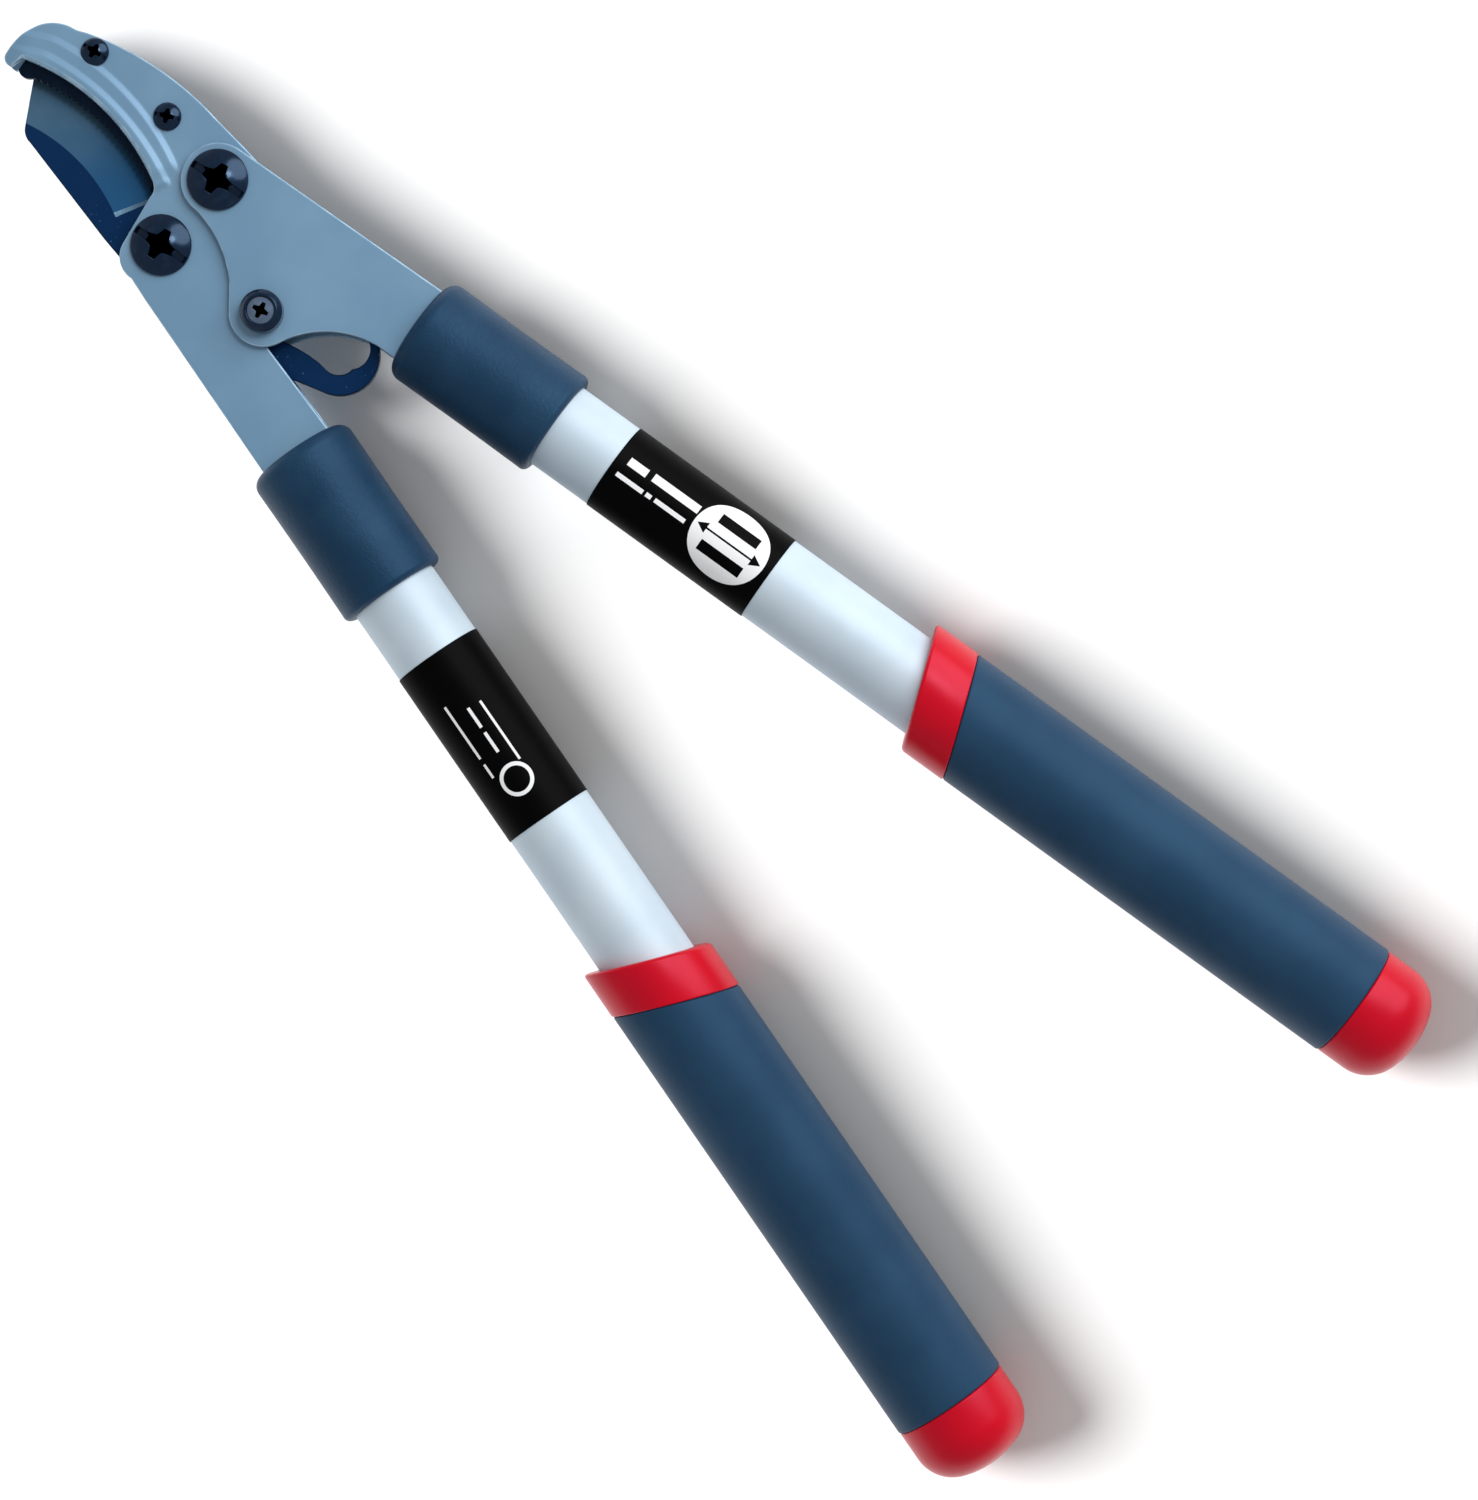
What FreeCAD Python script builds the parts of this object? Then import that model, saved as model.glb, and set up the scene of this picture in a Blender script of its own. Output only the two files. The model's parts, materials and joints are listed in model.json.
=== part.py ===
import FreeCAD, Part
import math
import os

from FreeCAD import Placement, Rotation, Vector

# Bypass loppers with a compound drive, closed and lying flat on their grips.
# Two hook plates carry the counter blade, the blade pivot and the arm pivot, and run down into the
# left handle. The right arm turns about the arm pivot, and its drive pin pushes a roller along the
# slot in the blade's tail, so the blade turns by less than the arm does.
# Everything is drawn from the blade pivot, with the head towards +Y, the right arm on the +X side
# and Z = 0 half way through the head. The last step moves the whole so that the middle of its
# underside is the origin. Lengths are millimetres and angles are degrees.

# Pivots and motion
ARM_PIVOT = (23.5, 1.4)
DRIVE_PIN = (7.1, -32.9)
ARM_TRAVEL = 65.0
BLADE_RATIO = 0.70

# Clearances
SLIDE_GAP = 0.05
SEAT_GAP = 0.05
SLEEVE_GAP = 0.2

# Head, from the middle outwards
BLADE_THICKNESS = 3.0
COUNTER_THICKNESS = 2.4
WASHER_THICKNESS = 0.2
PLATE_THICKNESS = 2.0
STEP_HEIGHT = 0.7

# Curves of the cutting head: centre and radius
EDGE_CENTRE = (-50.5, 33.5)
COUNTER_EDGE_R = 62.0
BLADE_EDGE_R = 64.0
BEVEL_TOP_R = 50.3
BEVEL_DEPTH = 2.4
BEVEL_START = -21.4
SPACER_R = 66.5
HOOK_CENTRE = (-49.5, 36.2)
HOOK_EDGE_R = 64.0

# Blade pivot and arm pivot
BLADE_BUSH_WALL = 1.5
BLADE_WASHER_R = 9.5
BLADE_BOSS_R = 11.0
ARM_BUSH_WALL = 2.0
ARM_BUSH_NECK_WALL = 1.0
ARM_WASHER_R = 9.0
ARM_BOSS_R = 10.2
HOOK_BOSS_R = 11.3
BOLT_R = 4.0
BOLT_HEAD_R = 8.4
BOLT_HEAD_HEIGHT = 3.9
BOLT_HEAD_RIM = 0.9
BOLT_RECESS_SPAN = 6.6
BOLT_SLOT_WIDTH = 1.3
BOLT_RECESS_DEPTH = 2.2
RECESS_ANGLE = -77.4
BOLT_NUT_FLATS = 13.0
BOLT_NUT_HEIGHT = 6.0
THREAD_STANDOUT = 1.0

# Screws that hold the counter blade
HOOK_SCREWS = ((23.9, 50.3), (25.7, 23.8))
HOOK_SCREW_R = 2.0
HOOK_SCREW_HEAD_R = 3.85
HOOK_SCREW_HEAD_HEIGHT = 2.3
HOOK_SCREW_HEAD_RIM = 0.6
HOOK_SCREW_RECESS_SPAN = 3.6
HOOK_SCREW_SLOT_WIDTH = 0.9
HOOK_SCREW_RECESS_DEPTH = 1.3
HOOK_NUT_FLATS = 7.0
HOOK_NUT_HEIGHT = 3.2

# Drive pin and what is on it
PIN_R = 3.0
PIN_BOSS_R = 9.4
PIN_HEAD_R = 5.5
PIN_HEAD_HEIGHT = 2.5
PIN_SPACER_R = 4.2
PIN_COLLAR_R = 5.85
PIN_COLLAR_HEIGHT = 5.5
PIN_COLLAR_ROUND = 1.2
PIN_SCREW_HEAD_R = 3.85
PIN_SCREW_HEAD_HEIGHT = 1.8
PIN_SCREW_R = 1.6
PIN_SCREW_LENGTH = 8.0
ROLLER_R = 5.0
ROLLER_PLAY = 0.15
SLOT_OVERRUN = 6.0
SLOT_POCKET = (16.9, -55.6)
SLOT_POCKET_R = 5.6

# Handles: each axis leans away from -Y, and lengths along it start at the pivot
HANDLE_LEAN = 9.78
LEFT_AXIS_OFFSET = 1.5
LEFT_PLATE_HALF = 10.7
RIGHT_PLATE_HALF = 11.2
SLEEVE_START = 67.0
SLEEVE_LENGTH = 46.5
SLEEVE_TAIL_WALL = 2.85
SLEEVE_WALL = 4.0
SLEEVE_HEAD_ROUND = 3.6
SLEEVE_TAIL_ROUND = 1.8
TUBE_R = 12.5
TUBE_WALL = 1.5
TANG_SKIN = 0.6
TANG_LENGTH = 40.0
SHOULDER_DEPTH = 2.5
INSERT_END_WALL = 4.0
RIVET_R = 2.5
RIVET_PLACES = (11.0, 29.0)
LABEL_THICKNESS = 0.2
LEFT_LABEL_GAP = 21.0
LEFT_LABEL_LENGTH = 53.3
RIGHT_LABEL_GAP = 19.0
RIGHT_LABEL_LENGTH = 52.0

# Grips
GRIP_START = 168.0
COLLAR_LENGTH = 13.9
COLLAR_STANDOUT = 0.2
COLLAR_SLANT = 20.0
COLLAR_ROUND = 1.0
COVER_LENGTH = 131.6
LINER_WALL = 1.4
COVER_WALL = 2.6
COVER_ROUND = 0.6
CAP_LENGTH = 20.5
CAP_SETBACK = 0.2
CAP_ROUND = 11.0
CAP_ROUND_SWEEP = 70.0
CAP_WALL = 6.0
CUT_SIZE = 60.0

# The stack through the head, as distances from its middle
HALF_GAP = (BLADE_THICKNESS + COUNTER_THICKNESS + WASHER_THICKNESS + 4 * SLIDE_GAP) / 2
HOOK_OUTER = HALF_GAP + PLATE_THICKNESS
BLADE_BACK = -HALF_GAP + WASHER_THICKNESS + 2 * SLIDE_GAP
BLADE_FRONT = BLADE_BACK + BLADE_THICKNESS
COUNTER_BACK = HALF_GAP - COUNTER_THICKNESS
ARM_INNER = HOOK_OUTER + WASHER_THICKNESS + 2 * SLIDE_GAP
ARM_OUTER = ARM_INNER + PLATE_THICKNESS
BLADE_BUSH_R = BOLT_R + BLADE_BUSH_WALL
ARM_BUSH_R = BOLT_R + ARM_BUSH_WALL
ARM_BUSH_NECK_R = BOLT_R + ARM_BUSH_NECK_WALL

# Handle radii, from the tube outwards
BORE_R = TUBE_R - TUBE_WALL
SLEEVE_R = TUBE_R + SEAT_GAP + SLEEVE_TAIL_WALL
LINER_R = TUBE_R + SEAT_GAP + LINER_WALL
COVER_R = LINER_R + SEAT_GAP + COVER_WALL
COLLAR_R = COVER_R + COLLAR_STANDOUT
CAP_R = COVER_R - CAP_SETBACK

# Places along the handles
TUBE_START = SLEEVE_START + SLEEVE_WALL + SLEEVE_GAP
COLLAR_START = SLEEVE_START + GRIP_START
COVER_START = COLLAR_START + COLLAR_LENGTH
CAP_START = COVER_START + COVER_LENGTH
CAP_END = CAP_START + CAP_LENGTH
SHOULDER = SLEEVE_START + SHOULDER_DEPTH
TANG_END = SHOULDER + TANG_LENGTH


# ---- outlines and simple solids ----

def spot(point, height=0.0):
    """A point of the plan at a height."""
    return Vector(point[0], point[1], height)


def polar(centre, radius, angle):
    """The plan point at a radius and an angle from a centre."""
    turn = math.radians(angle)
    return (centre[0] + radius * math.cos(turn), centre[1] + radius * math.sin(turn))


def turned(point, angle, centre=(0.0, 0.0)):
    """A plan point turned about a centre."""
    turn = math.radians(angle)
    across = point[0] - centre[0]
    along = point[1] - centre[1]
    return (centre[0] + across * math.cos(turn) - along * math.sin(turn),
            centre[1] + across * math.sin(turn) + along * math.cos(turn))


def outline(start, *steps):
    """The face inside a closed line: a step of one point is a straight side, one of two an arc."""
    edges = []
    here = start
    for step in steps + ((start,),):
        if len(step) == 2:
            edges.append(Part.Arc(spot(here), spot(step[0]), spot(step[1])).toShape())
        elif math.dist(here, step[0]) > 1e-6:
            edges.append(Part.LineSegment(spot(here), spot(step[0])).toShape())
        here = step[-1]
    return Part.Face(Part.Wire(edges))


def slab(face, low, high):
    """A plan face made solid between two heights."""
    solid = face.extrude(Vector(0, 0, high - low))
    solid.translate(Vector(0, 0, low))
    return solid


def rod(centre, radius, low, high):
    """An upright round bar."""
    return Part.makeCylinder(radius, high - low, spot(centre, low))


def ring(centre, outer, inner, low, high):
    """An upright round bar with a round hole through it."""
    return rod(centre, outer, low, high).cut(rod(centre, inner, low, high))


def turning(points):
    """A solid turned about Z from a profile in the XZ plane: a pair of points is an arc."""
    edges = []
    here = points[0]
    for step in points[1:] + [points[0]]:
        end = step[-1] if isinstance(step[0], tuple) else step
        ends = [Vector(here[0], 0, here[1]), Vector(end[0], 0, end[1])]
        if isinstance(step[0], tuple):
            middle = Vector(step[0][0], 0, step[0][1])
            edges.append(Part.Arc(ends[0], middle, ends[1]).toShape())
        else:
            edges.append(Part.LineSegment(*ends).toShape())
        here = end
    return Part.Face(Part.Wire(edges)).revolve(Vector(0, 0, 0), Vector(0, 0, 1), 360)


def fused(solids):
    """Solids joined into one, with the seams between them removed."""
    return solids[0].fuse(solids[1:]).removeSplitter()


def near(solid, centre, radius):
    """The edges of a solid that lie within a radius of a point."""
    return [edge for edge in solid.Edges if edge.CenterOfMass.distanceToPoint(centre) < radius]


# ---- fasteners ----

def recess(span, width, depth, top, slot_length):
    """A cross recess crossed by one long slot, cut downwards from a height."""
    arms = []
    for turn, length in ((0, slot_length), (90, span)):
        arm = Part.makeBox(length, width, depth + 1, Vector(-length / 2, -width / 2, top - depth))
        arm.rotate(Vector(0, 0, 0), Vector(0, 0, 1), turn + RECESS_ANGLE)
        arms.append(arm)
    return fused(arms)


def domed_head(radius, rim, height):
    """A screw head with an upright rim and a domed top, standing on Z = 0."""
    rise = height - rim
    ball = (radius ** 2 + rise ** 2) / (2 * rise)
    middle = (radius / 2, rim + rise - ball + math.sqrt(ball ** 2 - radius ** 2 / 4))
    return turning([(0, 0), (radius, 0), (radius, rim), (middle, (0, height))])


def screw(centre, shank_r, head, cutter, seat, foot):
    """A headed screw whose head sits at one height and whose shank reaches down to another."""
    shank = rod((0, 0), shank_r, foot - seat, 0)
    body = fused([head, shank]).cut(cutter)
    body.translate(spot(centre, seat))
    return body


def hex_nut(centre, flats, bore, low, high):
    """A six-sided nut with chamfered corners."""
    corner_r = flats / math.sqrt(3)
    corners = [polar((0, 0), corner_r, 60 * turn) for turn in range(6)]
    body = slab(outline(corners[0], *[(corner,) for corner in corners[1:]]), 0, high - low)
    bevel = corner_r - flats / 2
    top = high - low
    body = body.common(turning([(0, 0), (flats / 2, 0), (corner_r, bevel),
                                (corner_r, top - bevel), (flats / 2, top), (0, top)]))
    body = body.cut(rod((0, 0), bore, -1, top + 1))
    body.translate(spot(centre, low))
    return body


def pivot_bolt(centre, seat):
    """A domed pivot bolt that reaches through the head to its nut."""
    head = domed_head(BOLT_HEAD_R, BOLT_HEAD_RIM, BOLT_HEAD_HEIGHT)
    cutter = recess(BOLT_RECESS_SPAN, BOLT_SLOT_WIDTH, BOLT_RECESS_DEPTH, BOLT_HEAD_HEIGHT,
                    1.6 * BOLT_HEAD_R)
    return screw(centre, BOLT_R, head, cutter, seat, -seat - BOLT_NUT_HEIGHT - THREAD_STANDOUT)


def pivot_nut(centre, seat):
    """The nut on a pivot bolt's end."""
    return hex_nut(centre, BOLT_NUT_FLATS, BOLT_R + SEAT_GAP, -seat - BOLT_NUT_HEIGHT, -seat)


# ---- head: hook plates, counter blade and pivots ----

def on_handle(side, along, across):
    """A plan point from its distance along a handle and across it; side is -1 left, 1 right."""
    lean = math.radians(HANDLE_LEAN)
    foot = handle_foot(side)
    return (foot[0] + side * along * math.sin(lean) + across * math.cos(lean),
            foot[1] - along * math.cos(lean) + side * across * math.sin(lean))


def handle_foot(side):
    """The plan point where a handle's lengths start, beside or at its pivot."""
    if side > 0:
        return ARM_PIVOT
    lean = math.radians(HANDLE_LEAN)
    return (-LEFT_AXIS_OFFSET * math.cos(lean), LEFT_AXIS_OFFSET * math.sin(lean))


def tang_half(outer):
    """Half the width of a tang whose far face is at a height, inside the handle tube's insert."""
    return math.sqrt((BORE_R - TANG_SKIN) ** 2 - outer ** 2)


def tang_steps(side, plate_half, outer):
    """The outline steps round a plate's tang, from its right shoulder to its left one."""
    half = tang_half(outer)
    return [(on_handle(side, SHOULDER, plate_half),),
            (on_handle(side, SHOULDER, half),),
            (on_handle(side, TANG_END, half),),
            (on_handle(side, TANG_END, -half),),
            (on_handle(side, SHOULDER, -half),),
            (on_handle(side, SHOULDER, -plate_half),)]


def hook_outline():
    """The plan of a hook plate, from the hook's tip round its back and down the left arm."""
    boss = [polar(ARM_PIVOT, HOOK_BOSS_R, angle) for angle in (0, -70, -140)]
    return outline((4.7, 63.7),
                   ((4.5, 65.4), (5.6, 67.0)),
                   ((12.2, 67.9), (18.1, 66.5)),
                   ((21.9, 63.6), (24.4, 58.7)),
                   ((32.0, 39.6), (boss[0][0], 14.0)),
                   (boss[0],),
                   (boss[1], boss[2]),
                   ((11.9, -16.8), (3.1, -26.0)),
                   *tang_steps(-1, LEFT_PLATE_HALF, HOOK_OUTER),
                   ((-13.6, -7.8),),
                   ((-12.2, -0.8),),
                   ((-11.0, 5.0), (-7.3, 7.7)),
                   ((7.0, 11.6),),
                   ((9.2, 12.3), (10.2, 13.4)),
                   (polar(HOOK_CENTRE, HOOK_EDGE_R, 0), polar(HOOK_CENTRE, HOOK_EDGE_R, 24.6)),
                   ((6.9, 63.3),))


def hook_holes(low, high):
    """The bars that bore a hook plate: both pivots, the counter blade's screws and the rivets."""
    bars = [rod((0, 0), BOLT_R + SEAT_GAP, low, high),
            rod(ARM_PIVOT, ARM_BUSH_NECK_R + SEAT_GAP, low, high)]
    for centre in HOOK_SCREWS:
        bars.append(rod(centre, HOOK_SCREW_R + SEAT_GAP, low, high))
    return bars + rivet_bars(-1, SEAT_GAP)


def raised_steps():
    """Two steps pressed up along the hook's inner edge on the front plate."""
    inner = [polar(HOOK_CENTRE, HOOK_EDGE_R, angle) for angle in (-19.4, 0, 23.5)]
    low = outline(inner[0], (inner[1], inner[2]), ((15.8, 64.0),),
                  ((22.6, 37.5), (18.4, 14.4)))
    high = outline(inner[0], (inner[1], inner[2]), ((12.0, 61.8),),
                   ((17.8, 37.0), (14.2, 15.2)))
    return [slab(low, HOOK_OUTER, HOOK_OUTER + STEP_HEIGHT),
            slab(high, HOOK_OUTER + STEP_HEIGHT, HOOK_OUTER + 2 * STEP_HEIGHT)]


def hook_plate_front():
    """The hook plate towards the viewer, with its raised steps."""
    plate = fused([slab(hook_outline(), HALF_GAP, HOOK_OUTER)] + raised_steps())
    top = HOOK_OUTER + 2 * STEP_HEIGHT
    seats = [rod(centre, HOOK_SCREW_HEAD_R + SEAT_GAP, HOOK_OUTER, top) for centre in HOOK_SCREWS]
    return plate.cut(hook_holes(0, top) + seats)


def hook_plate_rear():
    """The plain hook plate behind the blade."""
    plate = slab(hook_outline(), -HOOK_OUTER, -HALF_GAP)
    return plate.cut(hook_holes(-HOOK_OUTER, 0))


def counter_blade():
    """The hardened strip between the hook plates that the branch is pressed against."""
    edge = [polar(EDGE_CENTRE, COUNTER_EDGE_R, angle) for angle in (-19.2, 2.0, 23.2)]
    face = outline(edge[0], (edge[1], edge[2]),
                   ((5.0, 60.4), (5.6, 62.2)),
                   ((8.8, 62.8), (15.0, 63.6)),
                   ((24.7, 54.6), (29.3, 38.0)),
                   ((30.4, 17.5),),
                   ((19.0, 14.5),))
    strip = slab(face, COUNTER_BACK, HALF_GAP)
    return strip.cut([rod(centre, HOOK_SCREW_R + SEAT_GAP, 0, HOOK_OUTER) for centre in HOOK_SCREWS])


def hook_spacer():
    """The filler behind the counter blade that keeps the hook plates apart."""
    edge = [polar(EDGE_CENTRE, SPACER_R, angle) for angle in (23.0, 4.0, -14.4)]
    face = outline(edge[0], (edge[1], edge[2]), ((30.4, 17.5),), ((29.3, 38.0),),
                   ((24.7, 54.6), (15.0, 63.6)))
    block = slab(face, -HALF_GAP, COUNTER_BACK)
    bars = [rod(centre, HOOK_SCREW_R + SEAT_GAP, -HOOK_OUTER, HOOK_OUTER) for centre in HOOK_SCREWS]
    return block.cut(bars)


def hook_screws():
    """The screws through the hook plates, the counter blade and the spacer."""
    screws = []
    for centre in HOOK_SCREWS:
        head = domed_head(HOOK_SCREW_HEAD_R, HOOK_SCREW_HEAD_RIM, HOOK_SCREW_HEAD_HEIGHT)
        cutter = recess(HOOK_SCREW_RECESS_SPAN, HOOK_SCREW_SLOT_WIDTH, HOOK_SCREW_RECESS_DEPTH,
                        HOOK_SCREW_HEAD_HEIGHT, 1.6 * HOOK_SCREW_HEAD_R)
        foot = -HOOK_OUTER - HOOK_NUT_HEIGHT - THREAD_STANDOUT / 2
        screws.append(screw(centre, HOOK_SCREW_R, head, cutter, HOOK_OUTER, foot))
    return Part.makeCompound(screws)


def hook_screw_nuts():
    """The nuts of those screws, behind the rear hook plate."""
    return Part.makeCompound([hex_nut(centre, HOOK_NUT_FLATS, HOOK_SCREW_R + SEAT_GAP,
                                      -HOOK_OUTER - HOOK_NUT_HEIGHT, -HOOK_OUTER)
                              for centre in HOOK_SCREWS])


def blade_pivot_bush():
    """The sleeve that the blade turns on, clamped between the hook plates."""
    return ring((0, 0), BLADE_BUSH_R, BOLT_R + SEAT_GAP, -HALF_GAP, HALF_GAP)


def blade_pivot_washers():
    """The washers in front of and behind the blade, round its bush."""
    bore = BLADE_BUSH_R + SEAT_GAP
    return Part.makeCompound([
        ring((0, 0), BLADE_WASHER_R, bore, BLADE_FRONT + SLIDE_GAP, HALF_GAP - SLIDE_GAP),
        ring((0, 0), BLADE_WASHER_R, bore, -HALF_GAP + SLIDE_GAP, BLADE_BACK - SLIDE_GAP)])


def arm_pivot_bush():
    """The stepped sleeve of the arm pivot: wide between the hook plates, narrow through the arms."""
    seat = ARM_OUTER + SLIDE_GAP
    barrel = rod(ARM_PIVOT, ARM_BUSH_R, -HALF_GAP, HALF_GAP)
    neck = rod(ARM_PIVOT, ARM_BUSH_NECK_R, -seat, seat)
    return fused([barrel, neck]).cut(rod(ARM_PIVOT, BOLT_R + SEAT_GAP, -seat, seat))


def arm_pivot_washers():
    """The washers between the hook plates and the arm plates."""
    bore = ARM_BUSH_NECK_R + SEAT_GAP
    low = HOOK_OUTER + SLIDE_GAP
    high = ARM_INNER - SLIDE_GAP
    return Part.makeCompound([ring(ARM_PIVOT, ARM_WASHER_R, bore, low, high),
                              ring(ARM_PIVOT, ARM_WASHER_R, bore, -high, -low)])


# ---- blade ----

def slot_path(arm_angle):
    """Where the drive pin lies on the blade, with both drawn closed, when the arm has turned."""
    pin = turned(DRIVE_PIN, arm_angle, ARM_PIVOT)
    return turned(pin, -BLADE_RATIO * arm_angle)


def slot_outline(half_width):
    """The slot that the roller runs in: two sides that follow the pin's path, and round ends."""
    overrun = ARM_TRAVEL + SLOT_OVERRUN
    angles = [overrun * step / 8 for step in range(9)]
    sides = {-1: [], 1: []}
    for angle in angles:
        here = slot_path(angle)
        ahead = slot_path(angle + 0.5)
        length = math.dist(here, ahead)
        normal = ((here[1] - ahead[1]) / length, (ahead[0] - here[0]) / length)
        for side in sides:
            sides[side].append(spot((here[0] + side * half_width * normal[0],
                                     here[1] + side * half_width * normal[1])))
    curves = {side: Part.BSplineCurve() for side in sides}
    for side, points in sides.items():
        curves[side].interpolate(points)
    start = slot_path(0)
    end = slot_path(overrun)
    before = slot_path(-1)
    beyond = slot_path(overrun + 1)
    caps = []
    for centre, ahead, index in ((start, before, 0), (end, beyond, -1)):
        reach = half_width / math.dist(centre, ahead)
        crown = (centre[0] + reach * (ahead[0] - centre[0]), centre[1] + reach * (ahead[1] - centre[1]))
        caps.append(Part.Arc(sides[-1][index], spot(crown), sides[1][index]).toShape())
    return Part.Face(Part.Wire([curves[-1].toShape(), caps[1], curves[1].toShape(), caps[0]]))


def blade_outline():
    """The plan of the blade: tip, spine, pivot boss and tail loop."""
    edge = [polar(EDGE_CENTRE, BLADE_EDGE_R, angle) for angle in (BEVEL_START, 2.0, 24.0)]
    return outline(edge[2],
                   ((-3.9, 50.5),),
                   ((-5.6, 48.7), (-6.2, 46.2)),
                   ((-10.1, 13.2),),
                   ((-BLADE_BOSS_R, 1.0),),
                   ((-8.0, -26.0), (-0.5, -49.7)),
                   ((3.2, -58.4),),
                   ((6.6, -63.4), (12.4, -65.9)),
                   ((21.8, -62.4), (24.6, -54.0)),
                   ((15.3, -29.8),),
                   ((11.0, -19.0), (10.2, -10.0)),
                   (polar((0, 0), BLADE_BOSS_R, -20), (BLADE_BOSS_R, 2.0)),
                   (edge[0],),
                   (edge[1], edge[2]))


def blade():
    """The cutting blade, with its bevelled edge, bush bore and driven slot."""
    body = slab(blade_outline(), BLADE_BACK, BLADE_FRONT)
    wedge = turning([(BEVEL_TOP_R, BLADE_FRONT),
                     (BLADE_EDGE_R + 1, BLADE_FRONT + 1),
                     (BLADE_EDGE_R + 1, BLADE_FRONT - BEVEL_DEPTH),
                     (BLADE_EDGE_R, BLADE_FRONT - BEVEL_DEPTH)])
    wedge.translate(spot(EDGE_CENTRE))
    sector = outline(EDGE_CENTRE, (polar(EDGE_CENTRE, 2 * BLADE_EDGE_R, BEVEL_START),),
                     (polar(EDGE_CENTRE, 2 * BLADE_EDGE_R, 0), polar(EDGE_CENTRE, 2 * BLADE_EDGE_R, 60)))
    body = body.cut(wedge.common(slab(sector, -CUT_SIZE, CUT_SIZE)))
    slot = slab(slot_outline(ROLLER_R + ROLLER_PLAY), -CUT_SIZE, CUT_SIZE)
    pocket = rod(SLOT_POCKET, SLOT_POCKET_R, -CUT_SIZE, CUT_SIZE)
    return body.cut([rod((0, 0), BLADE_BUSH_R + SLIDE_GAP, -CUT_SIZE, CUT_SIZE), slot, pocket])


# ---- right arm and drive pin ----

def arm_outline():
    """The plan of an arm plate: pivot boss, drive pin boss and tang."""
    boss = [polar(ARM_PIVOT, ARM_BOSS_R, angle) for angle in (HANDLE_LEAN, 100, 187)]
    pin_boss = [polar(DRIVE_PIN, PIN_BOSS_R, angle) for angle in (139.4, -160, -108)]
    return outline(boss[0],
                   (boss[1], boss[2]),
                   ((11.7, -10.6), (6.4, -20.4)),
                   (pin_boss[0],),
                   (pin_boss[1], pin_boss[2]),
                   ((15.6, -48.7), on_handle(1, SLEEVE_START - 5, -RIGHT_PLATE_HALF)),
                   *reversed(tang_steps(1, RIGHT_PLATE_HALF, ARM_OUTER)))


def arm_plate(low, high):
    """One of the two plates of the right arm, bored for the arm pivot, drive pin and rivets."""
    bars = [rod(ARM_PIVOT, ARM_BUSH_NECK_R + SLIDE_GAP, low, high),
            rod(DRIVE_PIN, PIN_R + SEAT_GAP, low, high)]
    return slab(arm_outline(), low, high).cut(bars + rivet_bars(1, SEAT_GAP))


def drive_pin():
    """The headed pin through both arm plates, tapped at its front end."""
    end = ARM_OUTER + PIN_COLLAR_HEIGHT - PIN_SCREW_HEAD_HEIGHT - SEAT_GAP
    head = rod(DRIVE_PIN, PIN_HEAD_R, -ARM_OUTER - PIN_HEAD_HEIGHT, -ARM_OUTER)
    pin = fused([head, rod(DRIVE_PIN, PIN_R, -ARM_OUTER, end)])
    return pin.cut(rod(DRIVE_PIN, PIN_SCREW_R + SEAT_GAP, end - PIN_SCREW_LENGTH - SEAT_GAP, end))


def drive_pin_collar():
    """The tall round collar over the pin's front end, counterbored for its screw."""
    top = ARM_OUTER + PIN_COLLAR_HEIGHT
    collar = rod(DRIVE_PIN, PIN_COLLAR_R, ARM_OUTER, top)
    collar = collar.makeFillet(PIN_COLLAR_ROUND, near(collar, spot(DRIVE_PIN, top), 0.1))
    counterbore = rod(DRIVE_PIN, PIN_SCREW_HEAD_R + SEAT_GAP, top - PIN_SCREW_HEAD_HEIGHT, top)
    return collar.cut([rod(DRIVE_PIN, PIN_R + SEAT_GAP, ARM_OUTER, top), counterbore])


def drive_pin_screw():
    """The flush screw in the collar, threaded into the pin."""
    head = rod((0, 0), PIN_SCREW_HEAD_R, 0, PIN_SCREW_HEAD_HEIGHT)
    cutter = recess(HOOK_SCREW_RECESS_SPAN, HOOK_SCREW_SLOT_WIDTH, HOOK_SCREW_RECESS_DEPTH,
                    PIN_SCREW_HEAD_HEIGHT, HOOK_SCREW_RECESS_SPAN)
    seat = ARM_OUTER + PIN_COLLAR_HEIGHT - PIN_SCREW_HEAD_HEIGHT
    return screw(DRIVE_PIN, PIN_SCREW_R, head, cutter, seat, seat - PIN_SCREW_LENGTH)


def drive_pin_spacers():
    """The two tubes that centre the roller on the pin between the arm plates."""
    bore = PIN_R + SEAT_GAP
    return Part.makeCompound([
        ring(DRIVE_PIN, PIN_SPACER_R, bore, BLADE_FRONT + SLIDE_GAP, ARM_INNER - SLIDE_GAP),
        ring(DRIVE_PIN, PIN_SPACER_R, bore, -ARM_INNER + SLIDE_GAP, BLADE_BACK - SLIDE_GAP)])


def drive_roller():
    """The roller that runs in the blade's slot."""
    return ring(DRIVE_PIN, ROLLER_R, PIN_R + SLIDE_GAP, BLADE_BACK, BLADE_FRONT)


# ---- handles, drawn along +X from the pivot and then laid along their axes ----

def laid(side, solid):
    """A solid drawn along +X, moved onto a handle's axis with its +Y side across to the right."""
    solid.Placement = Placement(spot(handle_foot(side)), Rotation(Vector(0, 0, 1),
                                                                  -90 + side * HANDLE_LEAN))
    return solid


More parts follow.
